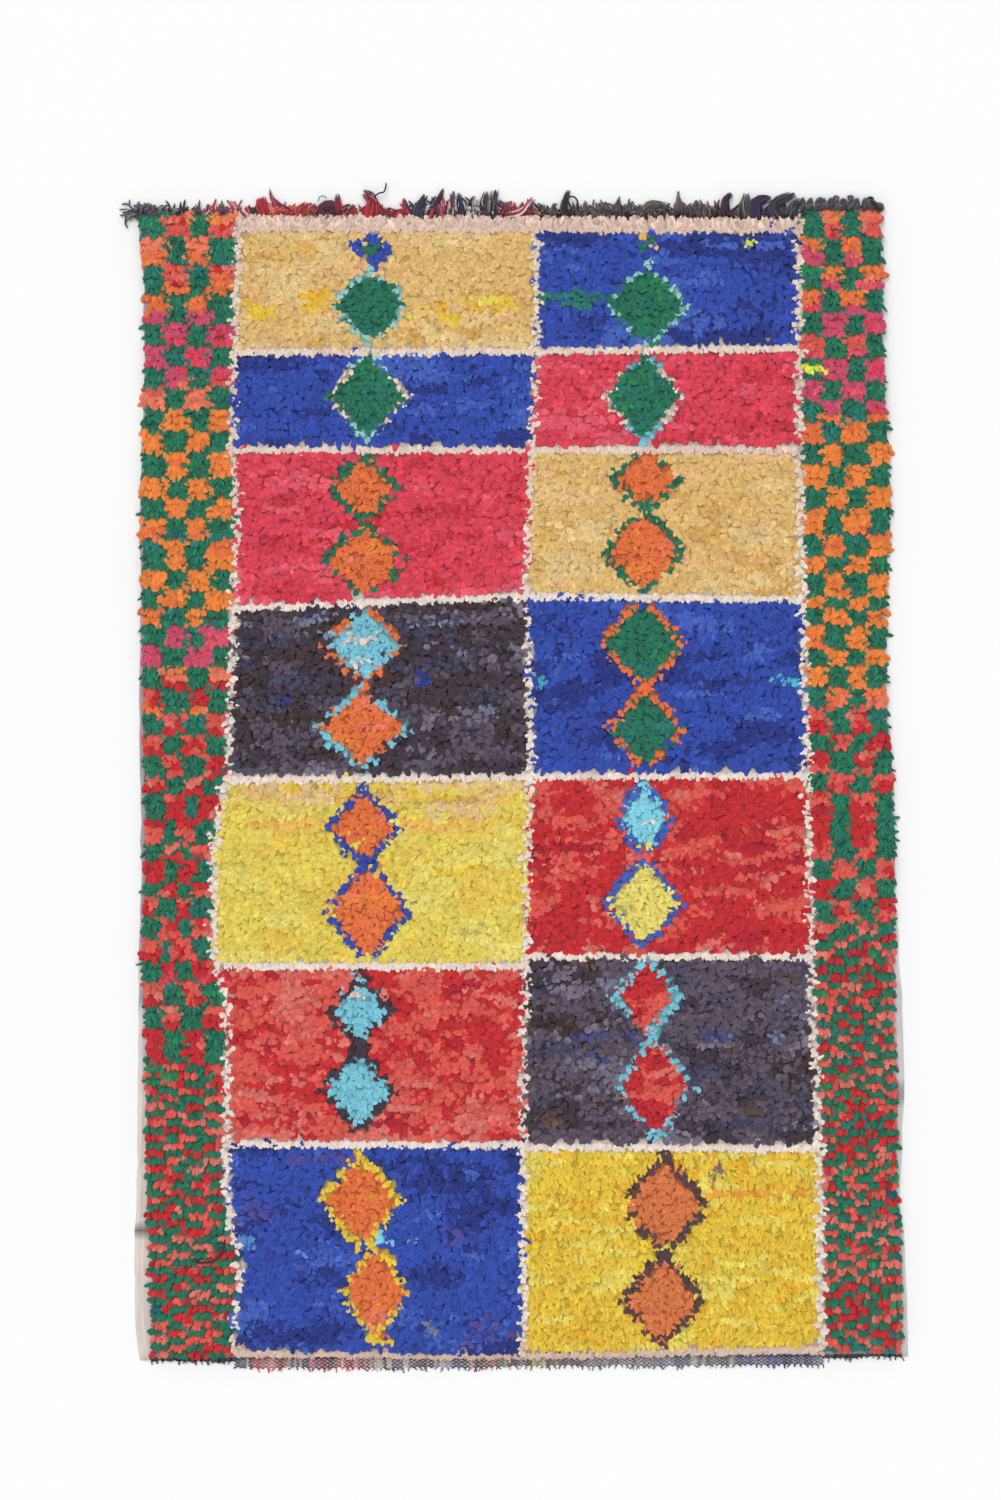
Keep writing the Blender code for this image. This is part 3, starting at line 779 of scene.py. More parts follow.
def flap_lines(knots, of_knot, rag, rng):
    """The middle line of every flap at its rings, its direction there, and its width."""
    count = len(of_knot)
    place = np.tile(np.linspace(-0.5, 0.5, rag.flaps), len(knots.x))
    turn = knots.lean[of_knot] + rag.spread * place + rng.normal(0, rag.wander, count)
    length = rag.length * rng.uniform(*LENGTHS, count)
    width = rag.width * rng.uniform(*WIDTHS, count)
    bend = rng.normal(0, BEND, count)
    x = knots.x[of_knot] + rng.normal(0, ROOT_SCATTER[0], count)
    y = knots.y[of_knot] + rng.normal(0, ROOT_SCATTER[1], count)
    top = heights.at(x, y)
    root_z = np.maximum(top - PILE_SINK, GROUND_THICKNESS + 0.5)
    rise = rag.lift * rng.uniform(*RISES, count)
    reach = np.sqrt(np.maximum(length ** 2 - (top - root_z) ** 2, (LEAST_REACH * length) ** 2))
    centres, ways, before = [], [], 0.0
    for number, share in enumerate(RING_REACH):
        angle = np.radians(turn + bend * share)
        way = np.stack([np.cos(angle), np.sin(angle)], 1)
        step = (share - before) * reach
        x, y, before = x + step * way[:, 0], y + step * way[:, 1], share
        surface = heights.at(x, y)
        if number == 0:
            z = root_z
        elif number == 1:
            z = surface + 0.6 * rise - FLAP_FOOT_SINK
        elif number == 2:
            z = surface + 0.8 * rise + rng.uniform(-0.2, 0.6, count)
        else:
            z = surface + 0.5 * rise + rng.uniform(-0.9, 0.2, count)
        centres.append(np.stack([x, y, np.clip(z, LOWEST, HIGHEST - 3)], 1))
        ways.append(way)
    return centres, ways, width


def flap_points(knots, rag, rng):
    """The corners of every flap of one kind of rag, and its colours: arrays of flaps by corners."""
    of_knot = np.repeat(np.arange(len(knots.x)), rag.flaps)
    count = len(of_knot)
    centres, ways, width = flap_lines(knots, of_knot, rag, rng)
    roll = np.radians(rng.normal(0, rag.curl, count))
    twist = np.radians(rng.normal(0, TWIST, count))
    points = np.zeros((count, POINTS_A_FLAP, 3))
    points[:, 0] = centres[0]
    for ring, share in ((1, 1.0), (2, rag.blunt)):
        forward = centres[ring + 1] - centres[ring - 1]
        forward /= np.linalg.norm(forward, axis=1, keepdims=True)
        flat = np.stack([-ways[ring][:, 1], ways[ring][:, 0], np.zeros(count)], 1)
        up = np.cross(forward, flat)
        up /= np.linalg.norm(up, axis=1, keepdims=True)
        turned = (roll + twist * (ring - 1))[:, None]
        wide = width * share
        aside = flat * np.cos(turned) + up * np.sin(turned)
        above = up * np.cos(turned) - flat * np.sin(turned)
        half = (wide / 2)[:, None]
        thick = (wide * FLAP_CREASE)[:, None]
        crease = (wide * rng.uniform(-0.25, 0.25, count))[:, None]
        first = 3 * ring - 2
        points[:, first] = centres[ring] + aside * half - above * thick * 0.4
        points[:, first + 1] = centres[ring] + aside * crease + above * thick
        points[:, first + 2] = centres[ring] - aside * half - above * thick * 0.4
    points[:, -1] = centres[3]
    points[:, :, 2] = np.clip(points[:, :, 2], LOWEST, HIGHEST)
    return points, flap_colours(knots, of_knot, rag.uneven, rng)


def flap_colours(knots, of_knot, uneven, rng):
    """A colour for every corner: the knot's own random tone, the flap's, and painted shade that darkens
    it towards the root.
    """
    knot_shade = rng.normal(1, KNOT_UNEVEN, len(knots.x))[of_knot]
    flap_shade = rng.normal(1, uneven, len(of_knot))
    base = TINTS[knots.colour[of_knot]] * DYE_STRENGTH
    base = base * np.clip(knot_shade * flap_shade, *SHADE_LIMITS)[:, None]
    drift = rng.normal(1, TINT_DRIFT, (len(of_knot), 3))
    # painted shade along each flap: darker at the root, a touch lighter where it stands highest
    colours = (base * drift)[:, None, :] * np.array(PAINTED_SHADE_ALONG)[None, :, None]
    return np.clip(colours, 0, 0.95)


def flap_faces(flaps):
    """Corner numbers, face sizes and map places of that many flaps."""
    root, middle, tip = [], [], []
    root_map, middle_map, tip_map = [], [], []
    for side in range(3):
        after = (side + 1) % 3
        root += [0, 1 + after, 1 + side]
        middle += [1 + side, 1 + after, 4 + after, 4 + side]
        tip += [4 + side, 4 + after, 7]
        root_map += [(side + 0.5, 0), (side + 1, 1), (side, 1)]
        middle_map += [(side, 1), (side + 1, 1), (side + 1, 2), (side, 2)]
        tip_map += [(side, 2), (side + 1, 2), (side + 0.5, 3)]
    one = np.array(root + middle + tip)
    sizes = np.array([3] * 3 + [4] * 3 + [3] * 3)
    flat_map = np.array(root_map + middle_map + tip_map) / 3
    corners = (np.arange(flaps)[:, None] * POINTS_A_FLAP + one).ravel()
    cells = math.ceil(math.sqrt(flaps))
    number = np.arange(flaps)
    cell = np.stack([number % cells, number // cells], 1)
    places = (cell[:, None, :] + 0.06 + 0.88 * flat_map[None]) / cells
    return corners, np.tile(sizes, flaps), places.reshape(-1, 2)


def new_object(name, data):
    made = bpy.data.objects.new(name, data)
    bpy.context.scene.collection.objects.link(made)
    return made


def mesh_from(name, cloths, points, corners, sizes, colours, places=None, kinds=None):
    """A piece made at once from arrays, in one or more cloths. Points are in design millimetres."""
    mesh = bpy.data.meshes.new(name)
    mesh.vertices.add(len(points))
    mesh.vertices.foreach_set("co", metres(points).astype(np.float32).ravel())
    mesh.loops.add(len(corners))
    mesh.loops.foreach_set("vertex_index", corners.astype(np.int32))
    mesh.polygons.add(len(sizes))
    starts = np.concatenate([[0], np.cumsum(sizes)[:-1]])
    mesh.polygons.foreach_set("loop_start", starts.astype(np.int32))
    mesh.polygons.foreach_set("loop_total", sizes.astype(np.int32))
    if kinds is not None:
        mesh.polygons.foreach_set("material_index", kinds.astype(np.int32))
    mesh.update(calc_edges=True)
    layer = mesh.color_attributes.new("dye", "FLOAT_COLOR", "POINT")
    full = np.concatenate([colours, np.ones((len(colours), 1))], 1)
    layer.data.foreach_set("color", full.astype(np.float32).ravel())
    if places is not None:
        layer = mesh.uv_layers.new(name="OFBake")
        layer.data.foreach_set("uv", places.astype(np.float32).ravel())
        mesh.shade_flat()
    mesh.validate()
    for cloth in cloths:
        mesh.materials.append(cloth_material(cloth))
    return new_object(name, mesh)


# Materials


def link(tree, source, socket, target, name):
    tree.links.new(source.outputs[socket], target.inputs[name])


def fill_in(made, **inputs):
    """Sets a node's inputs, with a low line for each space in their names."""
    for name, value in inputs.items():
        made.inputs[name.replace("_", " ")].default_value = value
    return made


def node(tree, kind, **inputs):
    return fill_in(tree.nodes.new(kind), **inputs)


Cloth = namedtuple("Cloth", "roughness sheen fibre fibre_depth weave weave_depth bump")
CLOTHS = {
    "cotton_rag": Cloth(0.92, 0.08, 900, 0.12, 1400, 0.15, 0.3),
    "jersey_rag": Cloth(0.85, 0.08, 650, 0.10, 1100, 0.15, 0.3),
    "wool_rag": Cloth(0.96, 0.12, 1100, 0.16, 600, 0.20, 0.4),
    "yarn": Cloth(0.90, 0.20, 1500, 0.25, 900, 0.35, 0.8),
    "ground_weave": Cloth(0.94, 0.10, 700, 0.15, 260, 0.60, 0.9),
}
materials = {}


def cloth_material(name):
    """Dyed cloth: the mesh's own colours with uneven fibres, and a fine weave as bump."""
    if name in materials:
        return materials[name]
    look = CLOTHS[name]
    made = bpy.data.materials.new(name)
    made.use_nodes = True
    tree = made.node_tree
    shader = fill_in(tree.nodes["Principled BSDF"], Roughness=look.roughness,
                     Specular_IOR_Level=0.25, Sheen_Weight=look.sheen, Sheen_Roughness=0.6)
    where = node(tree, "ShaderNodeTexCoord")
    colour = node(tree, "ShaderNodeAttribute")
    colour.attribute_name = "dye"
    fibres = node(tree, "ShaderNodeTexNoise", Scale=look.fibre, Detail=3.0)
    link(tree, where, "Object", fibres, "Vector")
    spread = node(tree, "ShaderNodeMapRange", To_Min=1 - look.fibre_depth,
                  To_Max=1 + look.fibre_depth)
    link(tree, fibres, "Fac", spread, "Value")
    shade = node(tree, "ShaderNodeVectorMath")
    shade.operation = "SCALE"
    link(tree, colour, "Color", shade, 0)
    link(tree, spread, "Result", shade, "Scale")
    link(tree, shade, "Vector", shader, "Base Color")
    weave = node(tree, "ShaderNodeTexNoise", Scale=look.weave, Detail=2.0)
    link(tree, where, "Object", weave, "Vector")
    raised = node(tree, "ShaderNodeBump", Strength=look.bump, Distance=look.weave_depth * MM)
    link(tree, weave, "Fac", raised, "Height")
    link(tree, raised, "Normal", shader, "Normal")
    materials[name] = made
    return made


def pile_piece(name, knots, rng):
    """One piece of the pile, with all its rags."""
    made, used = [], []
    for number, rag in enumerate(RAGS.values()):
        chosen = knots.rag == number
        if not chosen.any():
            continue
        if rag.material not in used:
            used.append(rag.material)
        flaps, shades = flap_points(pick(knots, chosen), rag, rng)
        made.append((flaps, shades, np.full(len(flaps), used.index(rag.material))))
    points, colours, kinds = joined(made)
    corners, sizes, places = flap_faces(len(points))
    return mesh_from(name, used, points.reshape(-1, 3), corners, sizes, colours.reshape(-1, 3),
                     places, np.repeat(kinds, FACES_A_FLAP))


def make_pile():
    knots = all_knots()
    pieces = []
    for number, region in enumerate(REGIONS):
        rng = np.random.default_rng(SEED + 100 + number)
        pieces.append(pile_piece("pile_" + region, pick(knots, knots.region == number), rng))
    return pieces, knots


def grid_faces(inside):
    """Quads of a grid's cells whose four corners are all inside."""
    columns = inside.shape[1]
    whole = inside[:-1, :-1] & inside[1:, :-1] & inside[:-1, 1:] & inside[1:, 1:]
    row, column = np.nonzero(whole)
    first = row * columns + column
    return np.stack([first, first + 1, first + columns + 1, first + columns], 1)


def make_bed(knots):
    """The foot of the pile between the rags, in the colours of the nearest knots, darkened as painted
    shade of the crevices.
    """
    across = np.arange(-780, 790, BED_STEP)
    ups = np.arange(-1160, 1170, BED_STEP)
    y, x = np.meshgrid(ups, across, indexing="ij")
    top = heights.at(x, y)
    tree = KDTree(len(knots.x))
    for number, place in enumerate(zip(knots.x, knots.y)):
        tree.insert((*place, 0), number)
    tree.balance()
    near = [tree.find((*place, 0))[1] for place in zip(x.ravel(), y.ravel())]
    # painted shade: the nearest knots' colours, darkened for the crevices between the rags
    colour = TINTS[knots.colour[near]] * BED_PAINTED_SHADE
    sinks = np.array([BED_SINKS[rag.material] for rag in RAGS.values()])
    sink = sinks[knots.rag[near]].reshape(x.shape)
    z = np.maximum(top - sink, GROUND_THICKNESS) + 0.5 * noise(x, y, 17, 17, 15)
    points = np.stack([x, y, z], 2).reshape(-1, 3)
    quads = grid_faces(top > BED_ABOVE)
    return mesh_from("pile_bed", ["wool_rag"], points, quads.ravel(), np.full(len(quads), 4), colour)


# The woven ground with its selvedges

GROUND_ROWS = 116
GROUND_COLUMNS = 16  # apart from those of the selvedges
GROUND_UNDERSIDE = 0.2
EDGE_THICKNESS = 1.4
SELVEDGE_COLUMNS = 9
SELVEDGE_SHARE = 0.026  # of the cloth's width, at either side
SELVEDGE_WAVE = 2.0
Selvedge = namedtuple("Selvedge", "side high low colour")
SELVEDGES = table(
    Selvedge,
    (0, 1160, -330, "selvedge_purple"), (0, -330, -400, "selvedge_beige"),
    (0, -400, -440, "selvedge_purple"), (0, -440, -560, "selvedge_grey"),
    (0, -560, -870, "selvedge_beige"), (0, -870, -896, "grey"), (0, -896, -1160, "selvedge_beige"),
    (1, 1160, -590, "selvedge_grey"), (1, -590, -630, "selvedge_purple"),
    (1, -630, -1160, "selvedge_grey"),
)


def ground_grid():
    """Places all over the cloth, closer at the selvedges, and how far across it each one is."""
    near = np.linspace(0, SELVEDGE_SHARE, SELVEDGE_COLUMNS)
    sides = np.concatenate([near, np.linspace(0, 1, GROUND_COLUMNS)[1:-1], 1 - near[::-1]])
    v, u = np.meshgrid(np.linspace(0, 1, GROUND_ROWS), sides, indexing="ij")
    bottom = PILE_BOTTOM_LEFT_Y * (1 - u) + PILE_BOTTOM_RIGHT_Y * u - END_MARGIN
    top = PILE_TOP_LEFT_Y * (1 - u) + PILE_TOP_RIGHT_Y * u + END_MARGIN
    y = bottom + (top - bottom) * v
    left = left_edge(y) - at_height(OUTLINE, "left_selvedge", y)
    right = right_edge(y) + at_height(OUTLINE, "right_selvedge", y)
    x = left + (right - left) * u
    at_edge = np.where(np.abs(u - 0.5) > 0.499, 1, 0)
    return x + SELVEDGE_WAVE * noise(x, y, 26, 34, 27) * at_edge, y, u


def closed_faces(rows, columns):
    """Faces of two such grids, one over the other: the top, the underside and the rim."""
    quads = grid_faces(np.ones((rows, columns), bool))
    below = rows * columns
    loop = list(range(columns))
    loop += [row * columns + columns - 1 for row in range(1, rows)]
    loop += [(rows - 1) * columns + column for column in range(columns - 2, -1, -1)]
    loop += [row * columns for row in range(rows - 2, 0, -1)]
    pairs = zip(loop, loop[1:] + loop[:1])
    rim = [(after, here, here + below, after + below) for here, after in pairs]
    return np.concatenate([quads, quads[:, ::-1] + below, np.array(rim)])


def make_ground():
    """The woven cloth under the pile, with its bare striped selvedges."""
    x, y, u = ground_grid()
    thick = np.where((u < 0.001) | (u > 0.999), EDGE_THICKNESS, GROUND_THICKNESS)
    upper = np.stack([x, y, thick + 0.2 * noise(x, y, 8, 8, 3)], 2).reshape(-1, 3)
    lower = np.stack([x, y, GROUND_UNDERSIDE + 0 * x], 2).reshape(-1, 3)
    faces = closed_faces(*x.shape)
    shade = np.zeros((*x.shape, 3))
    for part in SELVEDGES:
        here = (y <= part.high) & (y >= part.low) & ((u > 0.5) == bool(part.side))
        shade[here] = linear(PALETTE[part.colour])
    warp = np.where(np.arange(x.shape[1]) % 2, 0.07, -0.07)
    shade = shade * (1 + warp + 0.10 * noise(x, y, 5, 24, 21))[..., None]
    return mesh_from("ground_weave", ["ground_weave"], np.concatenate([upper, lower]),
                     faces.ravel(), np.full(len(faces), 4), np.concatenate([shade.reshape(-1, 3)] * 2))


# Fringes

# The short curly yarns along the whole top end: from where on, and in which colours

Band = namedtuple("Band", "x colours")
BANDS = table(
    Band,
    (-700, "grey_dark black grey_dark"), (-636, "magenta white crimson pink_light"),
    (-602, "grey_dark magenta grey_brown"), (-580, "magenta crimson white maroon"),
    (-536, "navy black navy"), (-522, "red crimson red salmon"), (-410, "plum maroon plum black"),
    (-360, "maroon crimson plum"), (-318, "red crimson red maroon"), (-216, "navy black navy white"),
    (-182, "maroon crimson magenta plum"), (-148, "navy black maroon white"),
    (-46, "maroon crimson magenta"), (-20, "maroon crimson red white"), (40, "olive black brown plum"),
    (120, "grey_dark grey_brown black plum"), (380, "maroon black plum"), (430, "grey_dark black"),
    (470, "plum navy plum"), (510, "grey_dark navy black"),
)
BAND_START = -700
BAND_END = 566
BAND_ROOT_Y = 1138
BAND_PITCH = 2.3
BAND_ANGLE = (95, 34)  # the middle and the spread, in degrees
BAND_CURL = 60
BAND_SHIFT = (-4, 6)
BAND_REACH = (16, 32)
BAND_RADIUS = (1.5, 2.4)
BAND_ROOT_Z = (3, 15)

# Locks: bunches of yarns that draw together towards a tip

Lock = namedtuple("Lock", "points base tip count colours")
LOCKS = table(
    Lock,
    ([(-626, 1134), (-622, 1144), (-616, 1154)], 14, 10, 22, "magenta white crimson pink_light"),
    ([(-556, 1138), (-566, 1156), (-583, 1174)], 6, 2, 12, "grey magenta white"),
    ([(-560, 1134), (-572, 1148), (-580, 1160)], 9, 4, 16, "white pink_light magenta"),
    ([(-548, 1134), (-558, 1150), (-562, 1164)], 10, 5, 22, "magenta crimson white maroon"),
    ([(-538, 1132), (-546, 1148), (-550, 1160)], 8, 4, 14, "maroon magenta crimson white"),
    ([(-524, 1132), (-530, 1148), (-532, 1158)], 7, 4, 18, "navy black navy"),
    ([(-506, 1136), (-516, 1158), (-523, 1176)], 8, 3, 18, "red crimson maroon"),
    ([(-502, 1140), (-510, 1162), (-513, 1181)], 7, 3, 16, "red crimson"),
    ([(-496, 1134), (-484, 1148), (-464, 1152)], 12, 6, 26, "red crimson salmon"),
    ([(-462, 1142), (-480, 1160), (-494, 1178), (-499, 1196)], 6, 1.5, 10, "maroon magenta"),
    ([(-448, 1134), (-436, 1150), (-430, 1168)], 16, 8, 30, "red grey_brown crimson red"),
    ([(-420, 1134), (-416, 1148), (-412, 1158)], 10, 6, 16, "crimson grey_brown red"),
    ([(-404, 1142), (-396, 1160), (-378, 1165), (-364, 1152)], 7, 6, 30, "plum maroon plum"),
    ([(-404, 1138), (-384, 1142), (-362, 1140)], 8, 8, 24, "plum maroon black"),
    ([(-358, 1138), (-362, 1160), (-363, 1184)], 7, 3.5, 22, "maroon crimson plum"),
    ([(-338, 1134), (-336, 1150), (-334, 1163)], 12, 3, 22, "maroon crimson plum"),
    ([(-312, 1134), (-314, 1148), (-316, 1158)], 7, 3, 12, "maroon red"),
    ([(-298, 1132), (-299, 1154), (-296, 1176)], 16, 9, 44, "red crimson red maroon"),
    ([(-278, 1132), (-280, 1152), (-288, 1170)], 10, 6, 26, "maroon plum crimson"),
    ([(-290, 1166), (-300, 1180), (-312, 1191)], 10, 6, 26, "plum navy magenta maroon"),
    ([(-252, 1134), (-248, 1142), (-244, 1148)], 16, 12, 18, "red crimson maroon"),
    ([(-230, 1138), (-230, 1152), (-230, 1163)], 8, 2, 14, "maroon red crimson"),
    ([(-208, 1132), (-204, 1156), (-190, 1182)], 12, 5, 34, "navy black grey_dark navy"),
    ([(-196, 1132), (-190, 1152), (-180, 1168)], 9, 4, 20, "black grey_dark white"),
    ([(-168, 1132), (-166, 1150), (-164, 1166)], 15, 6, 32, "maroon crimson magenta plum"),
    ([(-166, 1160), (-160, 1178), (-152, 1196)], 5, 1.5, 10, "maroon black"),
    ([(-148, 1138), (-151, 1162), (-156, 1182)], 6, 3, 14, "pink_light white magenta"),
    ([(-138, 1134), (-136, 1162), (-135, 1190)], 9, 4, 28, "maroon navy plum white"),
    ([(-116, 1134), (-118, 1160), (-124, 1187)], 9, 4, 28, "navy black navy white"),
    ([(-106, 1136), (-104, 1154), (-102, 1172)], 8, 4, 16, "grey_dark navy white"),
    ([(-110, 1140), (-102, 1164), (-91, 1184)], 4, 1.5, 8, "black maroon"),
    ([(-88, 1140), (-87, 1158), (-86, 1176)], 8, 5, 18, "white grey white"),
    ([(-76, 1134), (-74, 1162), (-68, 1190)], 7, 3.5, 22, "navy plum navy"),
    ([(-60, 1134), (-60, 1164), (-58, 1191)], 6, 3, 18, "olive white olive"),
    ([(-52, 1134), (-52, 1164), (-48, 1193)], 6, 4, 20, "black navy grey_dark"),
    ([(-42, 1138), (-40, 1156), (-40, 1175)], 6, 3, 14, "maroon plum white"),
    ([(-34, 1136), (-31, 1152), (-29, 1169)], 6, 4, 14, "maroon crimson"),
    ([(-30, 1138), (0, 1148), (24, 1176)], 9, 4, 26, "maroon crimson white magenta"),
    ([(-14, 1134), (10, 1142), (34, 1146)], 8, 6, 24, "red maroon white"),
    ([(30, 1134), (34, 1142), (36, 1152)], 8, 6, 14, "red crimson"),
    ([(46, 1134), (42, 1150), (48, 1166)], 8, 4, 16, "olive black grey_brown"),
    ([(62, 1134), (66, 1150), (67, 1166)], 7, 3, 14, "black grey_dark olive"),
    ([(90, 1136), (88, 1162), (96, 1192)], 9, 2, 34, "black grey_dark black"),
    ([(130, 1136), (130, 1152), (132, 1170)], 8, 3, 18, "grey_dark olive black"),
    ([(152, 1134), (152, 1148), (152, 1160)], 12, 9, 22, "grey_brown olive grey_dark"),
    ([(172, 1136), (172, 1154), (171, 1169)], 8, 4, 16, "grey_dark black"),
    ([(196, 1134), (197, 1156), (197, 1176)], 10, 3, 28, "black grey_dark plum"),
    ([(216, 1136), (218, 1152), (222, 1169)], 7, 3, 14, "grey_dark black"),
    ([(236, 1138), (258, 1164), (288, 1164)], 8, 6, 26, "grey_dark olive grey"),
    ([(262, 1136), (276, 1156), (286, 1160)], 10, 8, 26, "grey_dark olive black"),
    ([(316, 1146), (316, 1164), (316, 1191)], 9, 1.5, 26, "grey_dark olive grey"),
    ([(342, 1136), (342, 1152), (340, 1162)], 16, 10, 26, "plum grey_dark black"),
    ([(372, 1136), (368, 1152), (366, 1166)], 12, 5, 22, "grey_dark grey_brown black"),
    ([(398, 1136), (396, 1150), (390, 1162)], 14, 8, 26, "maroon plum black"),
    ([(412, 1146), (410, 1172), (420, 1187)], 7, 5, 26, "black plum maroon"),
    ([(450, 1136), (448, 1160), (452, 1185)], 11, 7, 36, "grey_dark black grey"),
    ([(474, 1134), (474, 1168), (499, 1179)], 17, 5, 50, "plum plum navy"),
    ([(516, 1136), (508, 1166), (546, 1187)], 16, 5, 54, "grey_dark black navy"),
    ([(540, 1140), (546, 1158), (556, 1176)], 11, 6, 26, "grey_dark navy black"),
)
LOCK_RADIUS = (1.2, 1.9)
LOCK_SLIP = (-10, 4)  # of each yarn's tip, along the lock
LOCK_WAVE = 1.8

# Tangles: short curly yarns around a place, at any angle near the given one

Tangle = namedtuple("Tangle", "x y wide tall angle wander reach count colours")
TANGLES = table(
    Tangle,
    (-768, 1150, 14, 6, 176, 24, 24, 18, "grey_dark charcoal grey"),
    (-752, 1148, 18, 7, 160, 45, 18, 30, "charcoal grey_dark black grey"),
    (-724, 1148, 20, 8, 120, 50, 16, 26, "grey_dark charcoal grey"),
    (-662, 1142, 20, 6, 110, 55, 16, 24, "grey_dark charcoal grey"),
    (200, 1148, 90, 7, 95, 55, 22, 90, "grey_dark charcoal grey_brown grey"),
    (340, 1148, 60, 7, 95, 55, 22, 60, "grey_dark charcoal plum grey"),
    (-120, 1148, 90, 8, 95, 40, 26, 90, "navy charcoal maroon grey"),
    (-390, 1142, 40, 6, 95, 50, 22, 40, "maroon plum crimson"),
    (-250, 1142, 50, 6, 95, 50, 20, 44, "maroon crimson plum"),
    (-600, 1144, 40, 6, 100, 40, 22, 36, "maroon grey_dark crimson"),
    (0, 1144, 40, 6, 95, 50, 22, 44, "maroon crimson grey_brown"),
)
TANGLE_CURL = 90
TANGLE_REACH = (0.6, 1.2)  # of the reach in the table
TANGLE_RADIUS = (1.4, 2.2)
TANGLE_ROOT_Z = (4, 18)

# Cords: from their feet to their ends, and then those in a row at the right

Cord = namedtuple("Cord", "x y end_x end_y radius colours")
CORDS = table(
    Cord,
    (-748, 1136, -776, 1148, 6.0, "charcoal grey_dark"),
    (-744, 1140, -764, 1162, 6.5, "grey_dark charcoal"),
    (-736, 1138, -750, 1168, 6.8, "charcoal grey_dark"),
    (-726, 1138, -734, 1164, 6.8, "grey_dark charcoal"), (-712, 1138, -724, 1160, 6.4, "charcoal grey"),
    (-700, 1134, -712, 1156, 6.0, "grey_dark charcoal"), (-684, 1134, -696, 1156, 6.4, "black grey"),
    (-676, 1132, -682, 1154, 6.0, "grey_dark black"), (-656, 1136, -668, 1160, 5.0, "black grey_dark"),
    (-640, 1136, -656, 1152, 4.6, "grey_dark black"), (686, 1168, 726, 1156, 9.0, "grey_dark black"),
    (684, 1156, 706, 1178, 7.0, "black grey_dark"),
)
RIGHT_CORDS_START = 566
RIGHT_CORDS_END = 690
RIGHT_CORDS_PITCH = 13.5
RIGHT_CORD_Y = 1157
RIGHT_CORD_LENGTH = 25
RIGHT_CORD_LENGTHS = (0.8, 1.1)  # of that
RIGHT_CORD_LEAN = 7  # of a cord's end, to either side
RIGHT_CORD_RADIUS = (6.4, 7.6)

# Single yarns whose run shows in the photograph: each a line through its points

Yarn = namedtuple("Yarn", "colour radius points")
YARNS = table(
    Yarn,
    ("black", 1.6, [(-292, 1172), (-290, 1182), (-280, 1188), (-272, 1190), (-268, 1202), (-268, 1210)]),
    ("white", 1.1, [(-192, 1182), (-204, 1164), (-206, 1152), (-192, 1146), (-176, 1150)]),
    ("white", 1.1, [(-130, 1178), (-126, 1166), (-116, 1156), (-114, 1144)]),
    ("white", 1.1, [(-104, 1160), (-90, 1160), (-78, 1150), (-64, 1146)]),
    ("white", 1.1, [(-72, 1184), (-76, 1168), (-66, 1152)]),
    ("black", 1.8, [(98, 1182), (108, 1180), (115, 1170), (116, 1152)]),
    ("maroon", 2.0, [(-498, 1168), (-480, 1166), (-464, 1158), (-452, 1146)]),
    ("grey", 1.1, [(-404, 1172), (-400, 1180), (-392, 1182), (-386, 1178)]),
)
LOOSE_YARN = Yarn("black", 2.4, [(-650, -936), (-644, -944), (-632, -945), (-620, -944),
                                 (-606, -938), (-596, -926), (-590, -912), (-588, -898)])
LOOSE_YARN_LIFT = 6.0

STRAND_POINTS = 7
STRAND_SIDES = 4
STRAND_LOWEST = 0.3
CORD_POINTS = 30
CORD_TWIST = 3.6  # of a cord's radius to a turn
CORD_BOW = 0.12  # of its length, to either side
PLY_RADIUS = 0.58  # of a cord's radius


def sweep(paths, radii, sides):
    """Closed tubes along many paths of the same number of points."""
    count, length = paths.shape[:2]
    forward = np.gradient(paths, axis=1)
    forward /= np.maximum(np.linalg.norm(forward, axis=2, keepdims=True), 1e-9)
    flat = np.cross(np.array([0, 0, 1.0]), forward)
    flat /= np.maximum(np.linalg.norm(flat, axis=2, keepdims=True), 1e-6)
    above = np.cross(forward, flat)
    turn = np.arange(sides) / sides * 2 * math.pi
    ring = (np.cos(turn)[None, None, :, None] * flat[:, :, None, :]
            + np.sin(turn)[None, None, :, None] * above[:, :, None, :])
    points = paths[:, :, None, :] + ring * radii[:, :, None, None]
    first = np.arange(count)[:, None, None] * length * sides
    step = np.arange(length - 1)[None, :, None] * sides
    side = np.arange(sides)[None, None, :]
    after = (side + 1) % sides
    low, low_after = first + step + side, first + step + after
    quads = np.stack([low, low_after, low_after + sides, low + sides], 3).reshape(-1, 4)
    caps = first[:, 0] + np.arange(sides)[None, ::-1]
    far = first[:, 0] + (length - 1) * sides + np.arange(sides)[None, :]
    corners = np.concatenate([quads.ravel(), caps.ravel(), far.ravel()])
    sizes = np.concatenate([np.full(len(quads), 4), np.full(2 * count, sides)])
    return points.reshape(-1, 3), corners, sizes


def strand_paths(x, y, angle, reach, curl, root_z, radius, rng):
    """Strands that start at the cloth's edge, bend by curl and come to rest on the floor."""
    share = np.linspace(0, 1, STRAND_POINTS)[None, :]
    heading = np.radians(angle[:, None] + curl[:, None] * share)
    step = reach[:, None] / (STRAND_POINTS - 1)
    px = x[:, None] + np.cumsum(np.cos(heading) * step, 1)
    py = y[:, None] + np.cumsum(np.sin(heading) * step, 1)
    settle = (1 - share) ** 2
    pz = radius[:, None] + 0.3 + (root_z[:, None] - radius[:, None]) * settle
    pz = pz + rng.uniform(0, 3.0, len(x))[:, None] * np.sin(math.pi * share)
    return np.stack([px, py, pz], 2)


def strand_mesh(paths, radii, colours):
    """One mesh part: tubes along the paths, each in its own colour."""
    points, corners, sizes = sweep(paths, radii, STRAND_SIDES)
    points[:, 2] = np.maximum(points[:, 2], STRAND_LOWEST)
    shades = np.repeat(colours, paths.shape[1] * STRAND_SIDES, 0)
    return points, corners, sizes, shades


